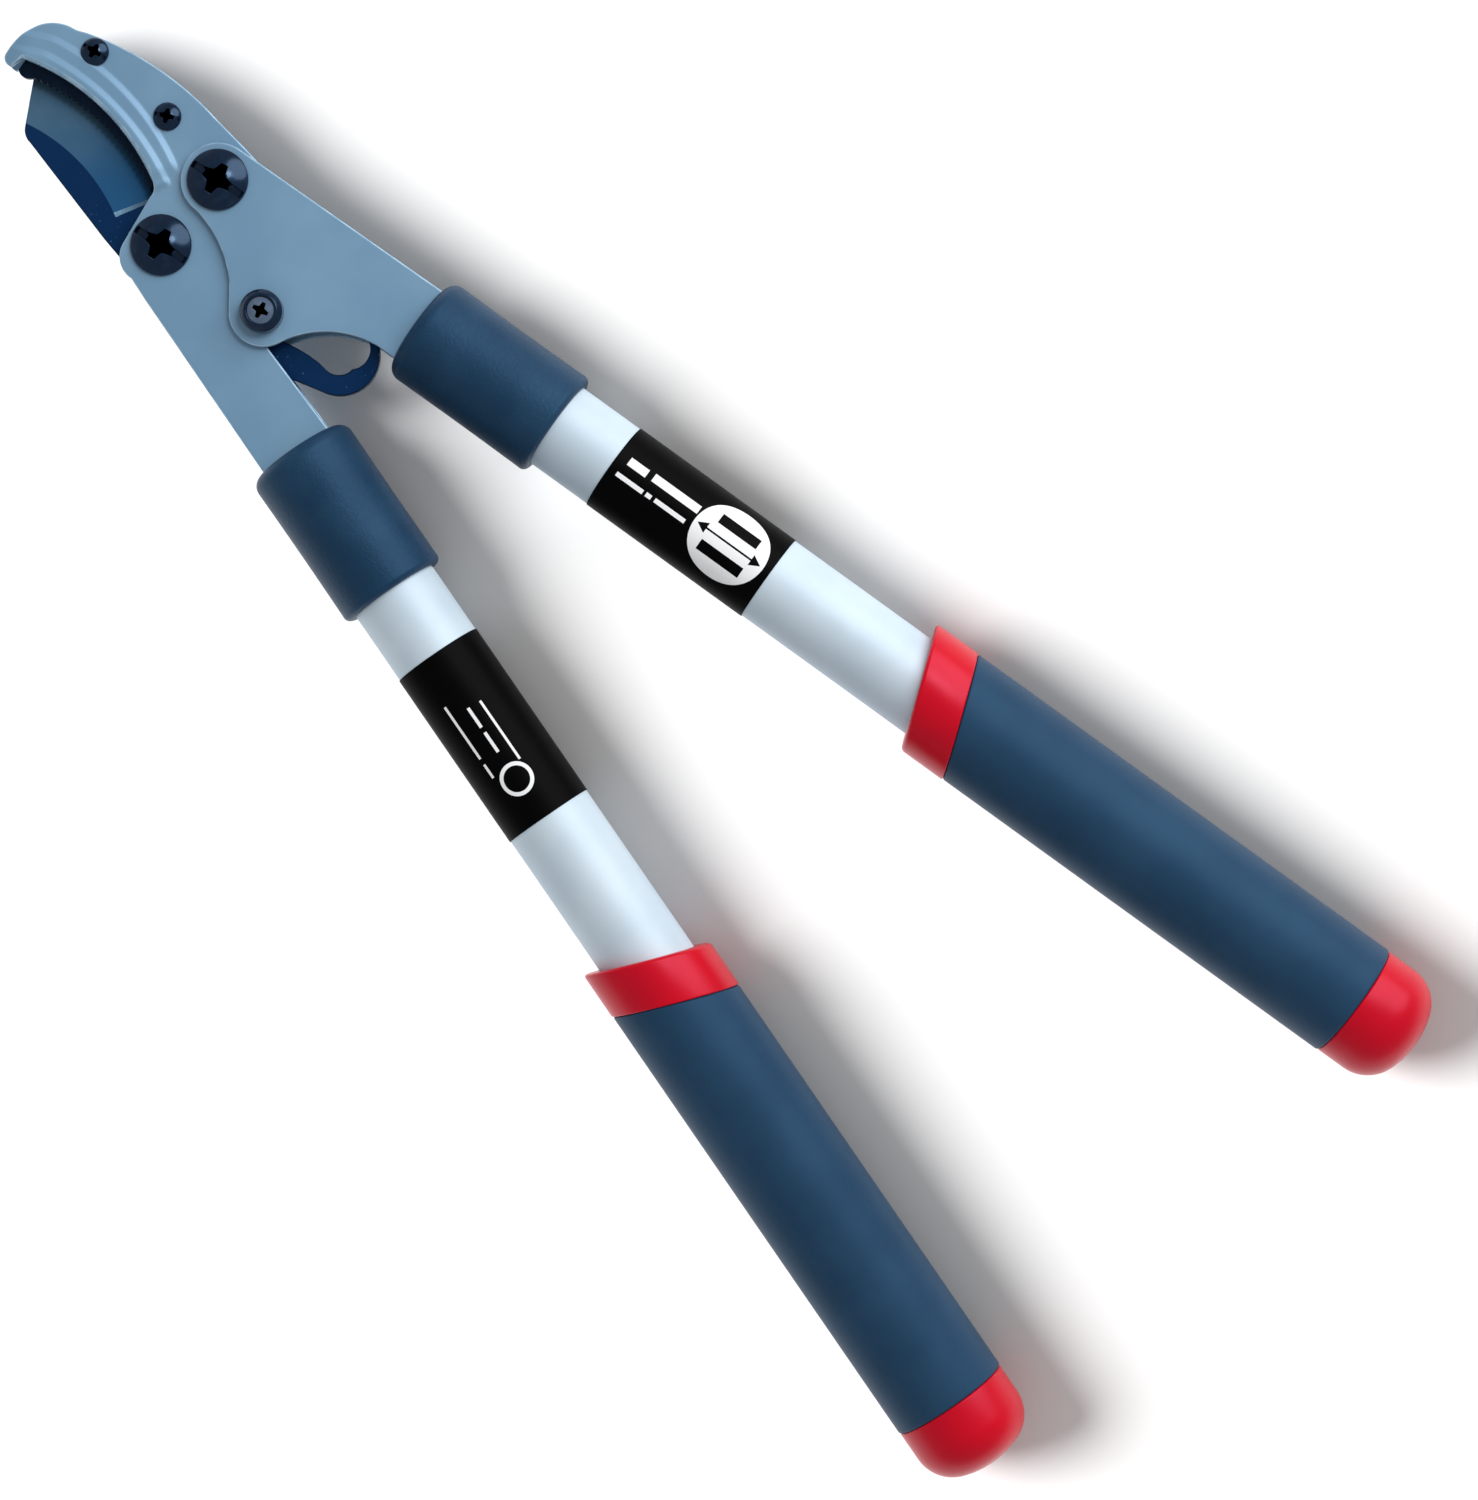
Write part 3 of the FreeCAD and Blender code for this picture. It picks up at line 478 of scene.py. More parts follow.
@dataclass(frozen=True)
class Print:
    """A black label film with white marks: bars, and a ring or a disc that holds an arrow."""

    name: str
    length: float
    girth: float
    bars: tuple[Bar, ...]
    disc: tuple[float, float, float] = (0.0, 0.0, 0.0)
    ring: tuple[float, float, float, float] = (0.0, 0.0, 0.0, 0.0)
    dark_bars: tuple[Bar, ...] = ()
    arrow: float = 0.0
    arrow_head: float = 3.0
    arrow_width: float = 0.28
    film_tones: tuple[Colour, Colour] = ((0.0004, 0.0004, 0.0006), (0.0012, 0.0012, 0.0016))
    ink_tones: tuple[Colour, Colour] = ((0.86, 0.88, 0.90), (0.92, 0.94, 0.96))

    def marks(self, graph: Graph) -> Sock:
        """White where the print is.

        u runs along the label and v round it from the middle of its front, both in millimetres.
        A bar is a product of two spans. The disc is where the distance from its middle is below
        its radius. The arrow is a thin bar with a triangle at each end, cut out of the disc.

        Args:
            graph: the graph of the material that holds the print.
        Returns:
            1 where the print is white.
        """
        sheet = graph.node("ShaderNodeUVMap", {"uv_map": "print"}, {})
        split = {axis: graph.node("ShaderNodeSeparateXYZ", {}, {0: sheet}, axis) for axis in "XY"}
        u = split["X"] * self.length
        v = (split["Y"] - 0.5) * self.girth
        white = self.bars[0].mask(u, v)
        for bar in self.bars[1:]:
            white = white + bar.mask(u, v)
        if self.ring[2]:
            away = (((u - self.ring[0]) ** 2 + (v - self.ring[1]) ** 2) ** 0.5 - self.ring[2]).size()
            white = white + (away < self.ring[3])
        if self.disc[2]:
            along = u - self.disc[0]
            across = v - self.disc[1]
            inside = (along * along + across * across) < self.disc[2] ** 2
            left = self.arrow - along.size()
            shaft = (left > self.arrow_head / 2) * (across.size() < self.arrow_width)
            tips = (across.size() < left * 0.55) * (left < self.arrow_head)
            dark = shaft + tips
            for bar in self.dark_bars:
                dark = dark + bar.mask(along, across)
            white = white + inside * (1.0 - dark.clear())
        return white.clear()

    def paint(self) -> bpy.types.Material:
        """Ink on film: the marks choose the colour, and the film is smooth and slightly mottled.

        Returns:
            The finished material.
        """
        graph = Graph(self.name)
        ink = self.marks(graph)
        mottle = graph.noise(350.0, 3.0)
        colour = graph.mix(ink, graph.mix(mottle, *self.film_tones),
                           graph.mix(mottle, *self.ink_tones))
        return graph.surface({"Base Color": colour,
                              "Roughness": 0.42 + 0.08 * mottle, "Specular IOR Level": 0.04,
                              "Normal": graph.bump(mottle, 0.000004)})


class Finishes:
    """Every finish that is shared by several pieces, painted once."""

    def __init__(self) -> None:
        """Paints them."""
        self.plate = PlateCoat().paint()
        self.fastener = BlackSteel().paint()
        self.counter = BlackSteel("counter_steel", (0.0003, 0.0012, 0.005), (0.004, 0.010, 0.022),
                                  0.3, 0.0, (0.16, 0.32, 0.62)).paint()
        self.flush = BlackSteel("flush_steel", (0.080, 0.110, 0.165), (0.15, 0.19, 0.25),
                                0.35, 0.05).paint()
        self.metal = PlainMetal().paint()
        self.nylon = Moulded("nylon", (0.030, 0.034, 0.040), (0.045, 0.050, 0.058), 0.5, 1500.0,
                             0.00001).paint()
        self.sleeve = Moulded("sleeve_rubber", (0.009, 0.034, 0.076), (0.014, 0.046, 0.096), 0.47,
                              1900.0, 0.00003, creases=0.000024, shine=0.34).paint()
        self.tube = TubeCoat().paint()
        self.red = Moulded("red_plastic", (0.60, 0.0010, 0.011), (0.54, 0.0010, 0.012), 0.33, 900.0,
                           0.000006, tint=(1.0, 0.30, 0.48), shine=0.5).paint()
        self.grip = Moulded("grip_rubber", (0.014, 0.045, 0.094), (0.018, 0.054, 0.110), 0.50, 2400.0,
                            0.00003, shine=0.28).paint()


# ---------------------------------------------------------------- meshes

class Surface:
    """Points and faces of one piece while it is worked out, in row-frame metres."""

    def __init__(self) -> None:
        """Starts empty."""
        self.points: list[Array] = []
        self.faces: list[Array] = []
        self.sheets: list[Array] = []
        self.wear_and_painted_light: list[Array] = []
        self.count = 0

    def add_grid(self, spots: Array, round_rows: bool = False, round_columns: bool = True,
                 wear_and_painted_light: Union[Array, float] = 0.0, sheet: Union[Array, None] = None) -> None:
        """Adds a two-parameter grid as quads.

        The face at row i and column j joins (i, j), (i, j + 1), (i + 1, j + 1) and (i + 1, j), and
        a round direction joins its last line to its first.

        Args:
            spots: points, rows by columns by 3.
            round_rows: whether the last row joins the first.
            round_columns: whether the last column joins the first.
            wear_and_painted_light: for each face or row of faces, 1 on a rim and -1 deep in a recess:
                marks that the finishes use for painted highlights, painted shade and rubbing.
            sheet: flat places for a print, rows + 1 by columns + 1 by 2, or None.
        """
        rows, columns = spots.shape[:2]
        i, j = np.meshgrid(np.arange(rows - (not round_rows)), np.arange(columns - (not round_columns)),
                           indexing="ij")
        corners = [(i, j), (i, j + 1), (i + 1, j + 1), (i + 1, j)]
        quads = np.stack([(a % rows) * columns + b % columns for a, b in corners], -1).reshape(-1, 4)
        flat = np.zeros((len(quads), 4, 2))
        if sheet is not None:
            flat = np.stack([sheet[a, b] for a, b in corners], 2).reshape(-1, 4, 2)
        wear_and_painted_light = np.asarray(wear_and_painted_light, float)
        worn_and_painted_light = np.broadcast_to(wear_and_painted_light if wear_and_painted_light.ndim == 2 else wear_and_painted_light.reshape(-1, 1), i.shape).reshape(-1)
        self.add_faces(spots.reshape(-1, 3), quads, flat, worn_and_painted_light)

    def add_faces(self, spots: Array, faces: Array, sheet: Union[Array, None] = None,
                  wear_and_painted_light: Union[Array, float] = 0.0) -> None:
        """Adds points and the faces that join them, with a print place for each corner.

        Args:
            spots: the points, in metres.
            faces: the points of each face, by number.
            sheet: flat places of the faces' corners for a print, or None.
            wear_and_painted_light: as for a grid, one value or one for each face.
        """
        self.points.append(spots)
        self.faces.append(faces + self.count)
        self.sheets.append(np.zeros((*faces.shape, 2)) if sheet is None else sheet)
        self.wear_and_painted_light.append(np.broadcast_to(np.asarray(wear_and_painted_light, float), (len(faces),)))
        self.count += len(spots)

    def build(self, name: str, body: str, material: bpy.types.Material, slot: str,
              replaces: Sequence[str] = (), crease: float = 38.0) -> bpy.types.Object:
        """Makes the piece: doubles merged, faces outwards, smooth but for sharp edges.

        Args:
            name: the piece's name.
            body: the CAD body that it rides on.
            material: its finish.
            slot: the record's material slot; not used.
            replaces: the CAD nodes that it stands for.
            crease: edges sharper than this many degrees stay sharp.
        Returns:
            The piece.
        """
        mesh = bpy.data.meshes.new(name)
        faces = [face for block in self.faces for face in block.tolist()]
        mesh.from_pydata(np.concatenate(self.points), [], faces)
        sheet = mesh.uv_layers.new(name="print")
        sheet.data.foreach_set("uv", np.concatenate([s.reshape(-1) for s in self.sheets]))
        wear_and_painted_light = mesh.attributes.new("wear_and_painted_light", "FLOAT", "FACE")
        wear_and_painted_light.data.foreach_set("value", np.concatenate(self.wear_and_painted_light).astype(np.float32))
        work = bmesh.new()
        work.from_mesh(mesh)
        bmesh.ops.remove_doubles(work, verts=work.verts, dist=MERGE)
        bmesh.ops.recalc_face_normals(work, faces=work.faces)
        work.to_mesh(mesh)
        work.free()
        mesh.shade_smooth()
        mesh.set_sharp_from_angle(angle=math.radians(crease))
        mesh.materials.append(material)
        piece = bpy.data.objects.new(name, mesh)
        bpy.context.scene.collection.objects.link(piece)
        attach(piece, body)
        if replaces:
            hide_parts(*replaces)
        log.info("%s: %d faces on %s", name, len(mesh.polygons), body)
        return piece


def rounded_profile(corners: Sequence[tuple[float, float, float]], closed: bool = False,
                    steps: int = 6) -> Array:
    """A profile through corners, each rounded by an arc that touches both of its sides.

    An arc of radius r at a corner that turns by t starts r tan(t / 2) before it and ends as far
    after it; its points are spaced evenly in angle.

    Args:
        corners: (along, radius, rounding) for each corner.
        closed: whether the last corner joins the first.
        steps: how many sides an arc has.
    Returns:
        The profile's points as (along, radius).
    """
    spots = np.array([corner[:2] for corner in corners], float)
    count = len(spots)
    parts = []
    for index, (_, _, rounding) in enumerate(corners):
        here = spots[index]
        if rounding <= 0 or (not closed and index in (0, count - 1)):
            parts.append(here[None])
            continue
        come = here - spots[index - 1]
        go = spots[(index + 1) % count] - here
        come, go = come / np.linalg.norm(come), go / np.linalg.norm(go)
        turn = math.atan2(come[0] * go[1] - come[1] * go[0], come @ go)
        side = math.copysign(1.0, turn)
        normal = side * np.array([-come[1], come[0]])
        centre = here - come * rounding * math.tan(abs(turn) / 2) + normal * rounding
        angle = np.linspace(0.0, abs(turn), steps + 1)[:, None]
        parts.append(centre + rounding * (np.sin(angle) * come - np.cos(angle) * normal))
    return np.concatenate(parts)


@dataclass(frozen=True)
class Axis:
    """A line with two directions across it: a turned piece's axis. The origin is in metres."""

    origin: Array
    along: Array
    across: Array
    up: Array

    def turned(self, profile: Array, columns: int = 96, slant: Union[Array, float] = 0.0,
               swell: Union[Array, float] = 0.0) -> Array:
        """A profile carried round the axis.

        A point is the origin, plus its place along the axis, plus its radius times the direction
        at its angle. A slanted piece's places along also grow with the distance across.

        Args:
            profile: (along, radius) of each row, in millimetres.
            columns: how many points a turn has.
            slant: millimetres along per millimetre across, for each row.
            swell: extra radius, rows by columns.
        Returns:
            The grid of points in metres, rows by columns by 3.
        """
        angle = np.linspace(0.0, 2 * math.pi, columns, endpoint=False)
        reach = profile[:, 1:2] + swell * np.ones(columns)
        across = reach * np.cos(angle)
        up = reach * np.sin(angle)
        along = profile[:, 0:1] + np.asarray(slant).reshape(-1, 1) * across
        return self.origin + MM * (along[..., None] * self.along + across[..., None] * self.across
                                   + up[..., None] * self.up)


# ---------------------------------------------------------------- the head's plan

@dataclass(frozen=True)
class HeadFrame:
    """Where the head's plan lies in the row frame, in metres."""

    pivot: Array

    @classmethod
    def read(cls) -> "HeadFrame":
        """Takes the blade's bush, which is round the pivot and half in front of the middle."""
        low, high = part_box("blade_pivot_bush")
        return cls((np.array(low) + np.array(high)) / 2)

    def to_row(self, plan: Array) -> Array:
        """Plan millimetres as row-frame metres."""
        return self.pivot + plan * MM

    def to_plan(self, row: Array) -> Array:
        """Row-frame metres as plan millimetres."""
        return (row - self.pivot) / MM

    def levels(self, node: str) -> tuple[float, float]:
        """A node's lowest and highest level."""
        low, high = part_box(node)
        return (low.z - self.pivot[2]) / MM, (high.z - self.pivot[2]) / MM

    def round_node(self, node: str) -> tuple[Array, float]:
        """The plan centre and the radius of a round upright node."""
        low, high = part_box(node)
        return self.to_plan((np.array(low) + np.array(high)) / 2)[:2], (high.x - low.x) / 2 / MM

    def upright(self, centre: Sequence[float], turn: float = 0.0) -> Axis:
        """The upright axis through a plan point, with its across direction turned from +X.

        Args:
            centre: the plan point.
            turn: the turn, in radians.
        Returns:
            The axis.
        """
        cos, sin = math.cos(turn), math.sin(turn)
        return Axis(self.to_row(np.array([*centre, 0.0])), np.array([0.0, 0.0, 1.0]),
                    np.array([cos, sin, 0.0]), np.array([-sin, cos, 0.0]))


def points_of(mesh: bpy.types.Mesh) -> Array:
    """A mesh's points.

    Args:
        mesh: the mesh.
    Returns:
        Its points, in row-frame metres.
    """
    spots = np.empty(len(mesh.vertices) * 3)
    mesh.vertices.foreach_get("co", spots)
    return spots.reshape(-1, 3)


class CadOutline:
    """The border lines of a plate's flat underside, read from its CAD node."""

    STRAIGHT = 6.0
    CORNER = math.radians(35.0)

    def __init__(self, node: str, head: HeadFrame) -> None:
        """Reads and merges the node's triangles.

        Args:
            node: the CAD node's name.
            head: the head's frame.
        """
        mesh = frame["nodes"][node].data
        mesh.calc_loop_triangles()
        spots = head.to_plan(points_of(mesh))
        corners = np.empty(len(mesh.loop_triangles) * 3, np.int64)
        mesh.loop_triangles.foreach_get("vertices", corners)
        _, first, back = np.unique(np.round(spots, 3), axis=0, return_index=True, return_inverse=True)
        self.spots = spots[first]
        self.corners = back.reshape(-1)[corners].reshape(-1, 3)

    def loops(self, level: float) -> list[Array]:
        """The closed border lines at a level, the outer one first.

        A border is an edge with a triangle on one side only. The outer line runs anticlockwise
        and holes clockwise, so that the material is always on the left.

        Args:
            level: the level of the flat side, in millimetres.
        Returns:
            The lines as plan points.
        """
        flat = np.abs(self.spots[self.corners][:, :, 2] - level).max(1) < 0.01
        triangles = self.corners[flat]
        edges = np.concatenate([triangles[:, pair] for pair in ([0, 1], [1, 2], [2, 0])])
        count = len(self.spots)
        border = edges[~np.isin(edges[:, 0] * count + edges[:, 1], edges[:, 1] * count + edges[:, 0])]
        onward = dict(border.tolist())
        found = []
        while onward:
            here = next(iter(onward))
            chain = []
            while here in onward:
                chain.append(here)
                here = onward.pop(here)
            found.append(self.spots[chain, :2])
        areas = [area(line) for line in found]
        order = sorted(range(len(found)), key=lambda index: -abs(areas[index]))
        return [found[index][::(1 if (areas[index] > 0) == (rank == 0) else -1)]
                for rank, index in enumerate(order)]

    def smooth(self, line: Array, spacing: float) -> Array:
        """Puts more points on a border line, along cubic curves that keep its corners.

        Where a corner is soft and both of its sides are short, the line runs through it in the
        direction of the circle through its neighbours; beside a long side it takes that side's
        direction. Long sides stay straight. A round hole becomes an exact circle.

        Args:
            line: a closed border line.
            spacing: how far apart its points may be.
        Returns:
            The finer line.
        """
        middle = line.mean(0)
        reach = np.linalg.norm(line - middle, axis=1)
        if len(line) > 7 and reach.std() < 0.012 * reach.mean():
            count = max(24, int(6.3 * reach.mean() / spacing))
            angle = -np.linspace(0, 2 * math.pi, count, endpoint=False)
            return middle + reach.max() * np.stack([np.cos(angle), np.sin(angle)], 1)
        come = line - np.roll(line, 1, 0)
        go = np.roll(line, -1, 0) - line
        come_length = np.linalg.norm(come, axis=1)[:, None]
        go_length = np.linalg.norm(go, axis=1)[:, None]
        come, go = come / come_length, go / go_length
        soft = (come * go).sum(1, keepdims=True) > math.cos(self.CORNER)
        curve = come * go_length + go * come_length
        curve /= np.linalg.norm(curve, axis=1)[:, None]
        leave = np.where(soft, np.where(come_length > self.STRAIGHT, come, curve), go)
        leave = np.where(go_length > self.STRAIGHT, go, leave)
        arrive = np.where(soft, np.where(go_length > self.STRAIGHT, go, curve), come)
        arrive = np.where(come_length > self.STRAIGHT, come, arrive)
        counts = np.maximum(1, np.ceil(go_length[:, 0] / spacing)).astype(int)
        index = np.repeat(np.arange(len(line)), counts)
        share = ((np.arange(counts.sum()) - np.repeat(np.cumsum(counts) - counts, counts))
                 / counts[index])[:, None]
        ahead = (index + 1) % len(line)
        return ((2 * share ** 3 - 3 * share ** 2 + 1) * line[index]
                + (share ** 3 - 2 * share ** 2 + share) * leave[index] * go_length[index]
                + (3 * share ** 2 - 2 * share ** 3) * line[ahead]
                + (share ** 3 - share ** 2) * arrive[ahead] * go_length[index])


def area(line: Array) -> float:
    """The area inside a closed line, positive if it runs anticlockwise."""
    ahead = np.roll(line, -1, 0)
    return 0.5 * float((line[:, 0] * ahead[:, 1] - line[:, 1] * ahead[:, 0]).sum())


def inward(line: Array) -> Array:
    """For each point of a closed line, the step to its left that moves both sides by 1.

    Args:
        line: the closed line.
    Returns:
        A step for each point.
    """
    come = line - np.roll(line, 1, 0)
    go = np.roll(line, -1, 0) - line
    come = come / np.linalg.norm(come, axis=1)[:, None]
    go = go / np.linalg.norm(go, axis=1)[:, None]
    left = np.stack([-(come + go)[:, 1], (come + go)[:, 0]], 1)
    return left / np.maximum(1 + (come * go).sum(1), 0.6)[:, None]


def inside(spots: Array, lines: Sequence[Array]) -> Array:
    """Whether each point is inside closed lines: a ray from it crosses them an odd number of times.

    Args:
        spots: the points.
        lines: the closed lines.
    Returns:
        True or False for each point.
    """
    odd = np.zeros(len(spots), bool)
    x, y = spots[:, :1], spots[:, 1:]
    for line in lines:
        ahead = np.roll(line, -1, 0)
        spans = (line[:, 1] > y) != (ahead[:, 1] > y)
        rise = np.where(ahead[:, 1] == line[:, 1], 1.0, ahead[:, 1] - line[:, 1])
        cross = line[:, 0] + (y - line[:, 1]) * (ahead[:, 0] - line[:, 0]) / rise
        odd ^= (spans & (x < cross)).sum(1) % 2 == 1
    return odd


def clear_of(spots: Array, lines: Sequence[Array], gap: float) -> Array:
    """Whether each point is further than a gap from every point of the lines.

    Args:
        spots: the points.
        lines: the lines.
        gap: the gap, in millimetres.
    Returns:
        True or False for each point.
    """
    fence = np.concatenate(lines)
    near = [np.linalg.norm(block[:, None] - fence, axis=2).min(1)
            for block in np.array_split(spots, 40)]
    return np.concatenate(near) > gap


def filled(lines: Sequence[Array], dots: Array, kept: Sequence[Array]) -> tuple[Array, Array]:
    """Triangles over the region inside closed lines, through extra points and kept open lines.

    Args:
        lines: the region's closed border lines.
        dots: points inside it.
        kept: open lines inside it that stay edges of the triangles.
    Returns:
        The points, and the triangles that join them, anticlockwise.
    """
    edges = []
    start = 0
    for line in [*lines, *kept]:
        index = start + np.arange(len(line))
        pairs = np.stack([index, np.roll(index, -1)], 1)
        edges.append(pairs if any(line is border for border in lines) else pairs[:-1])
        start += len(line)
    spots = np.concatenate([*lines, *kept, dots])
    made = delaunay_2d_cdt([Vector(spot) for spot in spots.tolist()],
                           np.concatenate(edges).tolist(), [], 0, 1e-5)
    found = np.array(made[0], float)
    triangles = np.array([face for face in made[2] if len(face) == 3])
    return found, triangles[inside(found[triangles].mean(1), lines)]


@dataclass
class Plate:
    """A piece cut from sheet: flat underneath, rounded rims, and a top that may rise and fall."""

    lines: list[Array]
    low: float
    top: Height
    rim: Height
    under_rim: float = 0.25
    dots: Union[Array, None] = None
    kept: tuple[Array, ...] = ()
    steps: int = 5
    shelf: float = 0.35

    def surface(self, head: HeadFrame) -> Surface:
        """Works the piece out.

        Each border line carries a profile: a quarter circle down from the top, the upright side
        and a quarter circle in to the underside, with a flat shelf inside each quarter circle. A
        point of the profile is the border point moved inwards along the line's inward step.
        Triangles fill the top and the underside between the lines, and the top's level is a
        function of the plan point.

        Args:
            head: the head's frame.
        Returns:
            The piece's points and faces.
        """
        made = Surface()
        tops, unders = [], []
        turn = np.linspace(0.0, math.pi / 2, self.steps + 1)[:, None]
        for line in self.lines:
            step = inward(line)
            radius = self.rim(line)
            upper = line + step * (radius + self.shelf)[:, None]
            lower = line + step * (self.under_rim + self.shelf)
            level = self.top(line + step * radius[:, None])
            flat = np.ones((1, len(line)))
            ins = np.concatenate([flat * radius + self.shelf, radius * (1 - np.sin(turn)),
                                  self.under_rim * (1 - np.sin(turn[::-1])) * flat,
                                  flat * self.under_rim + self.shelf])
            heights = np.concatenate([flat * self.top(upper), level - radius * (1 - np.cos(turn)),
                                      self.low + self.under_rim * (1 - np.cos(turn[::-1])) * flat,
                                      flat * self.low])
            plan = line + step * ins[..., None]
            # Marks the rounded top rim's rows for the finishes' painted rim highlight and painted rim
            # shade.
            worn_and_painted_light = np.zeros(2 * self.steps + 3)
            worn_and_painted_light[1:self.steps + 1] = 1.0
            made.add_grid(head.to_row(np.concatenate([plan, heights[..., None]], -1)), wear_and_painted_light=worn_and_painted_light)
            tops.append(upper)
            unders.append(lower)
        dots = np.zeros((0, 2)) if self.dots is None else self.dots
        if len(dots):
            dots = dots[inside(dots, tops) & clear_of(dots, tops, 0.4)]
        kept = [line[inside(line, tops) & clear_of(line, tops, 0.15)] for line in self.kept]
        for borders, extra, chains, level, flip in (
                (tops, dots, [chain for chain in kept if len(chain) > 1], self.top, 1),
                (unders, np.zeros((0, 2)), [], even(self.low), -1)):
            spots, triangles = filled(borders, extra, chains)
            solid = np.concatenate([spots, level(spots)[:, None]], 1)
            made.add_faces(head.to_row(solid), triangles[:, ::flip])
        return made


def even(value: float) -> Height:
    """A level or a rounding that is the same at every plan point."""
    return lambda spots: np.full(len(spots), value)


def polar(spots: Array, centre: Sequence[float]) -> tuple[Array, Array]:
    """The distance and angle in degrees of plan points from a centre."""
    step = spots - np.array(centre)
    return np.linalg.norm(step, axis=-1), np.degrees(np.arctan2(step[..., 1], step[..., 0]))


def around(centre: Sequence[float], radius: Union[Array, float], angle: Array) -> Array:
    """Plan points at distances and angles in degrees from a centre."""
    turn = np.radians(angle)
    return np.array(centre) + np.stack([radius * np.cos(turn), radius * np.sin(turn)], -1)


def eased(share: Array) -> Array:
    """0 up to 0, 1 from 1, and 3 s^2 - 2 s^3 between."""
    share = np.clip(share, 0.0, 1.0)
    return share * share * (3 - 2 * share)


# ---------------------------------------------------------------- screws, nuts and pins

@dataclass(frozen=True)
class Recess:
    """The drive of a screw head: a cross, and a slot across the head if it has one."""

    reach: float
    width: float
    depth: float
    slot_reach: float = 0.0
    slot_width: float = 0.0
    slot_depth: float = 0.0
    widening: float = 0.40

    def border(self, angle: Array, shrink: float) -> Array:
        """How far the recess reaches at each angle.

        An arm of reach L whose half width grows from w by k for each step towards the middle
        ends at the nearer of L / |cos| and (w + k L) / (|sin| + k |cos|). The recess is the
        furthest of its arms, softened where two of them meet.

        Args:
            angle: the angles round the axis.
            shrink: how far the border draws in at the foot of its wall.
        Returns:
            The reach at each angle.
        """
        cos, sin = np.abs(np.cos(angle)) + 1e-9, np.abs(np.sin(angle)) + 1e-9
        span = self.width - shrink + self.widening * self.reach
        arms = [np.minimum((self.reach - shrink) / cos, span / (sin + self.widening * cos)),
                np.minimum((self.reach - shrink) / sin, span / (cos + self.widening * sin))]
        if self.slot_reach:
            arms.append(np.minimum((self.slot_reach - shrink) / cos,
                                   (self.slot_width / 2 - shrink * 0.5) / sin))
        return sum(arm ** 12 for arm in arms) ** (1 / 12)

    def floor(self, reach: Array, top: float, dome: Array) -> Array:
        """The recess's floor: deep in the cross, and the slot's depth below the dome past it.

        Args:
            reach: distances from the axis.
            top: the level of the dome's crown.
            dome: the dome's level at those distances.
        Returns:
            The floor's level at those distances.
        """
        cross = self.depth * (1 - 0.35 * (reach / self.reach).clip(0, 1) ** 2)
        share = eased((reach - self.reach * 0.92) / (self.reach * 0.12))
        slot = np.minimum(dome - self.slot_depth, top - cross * 0.5)
        return (top - cross) * (1 - share) + slot * share


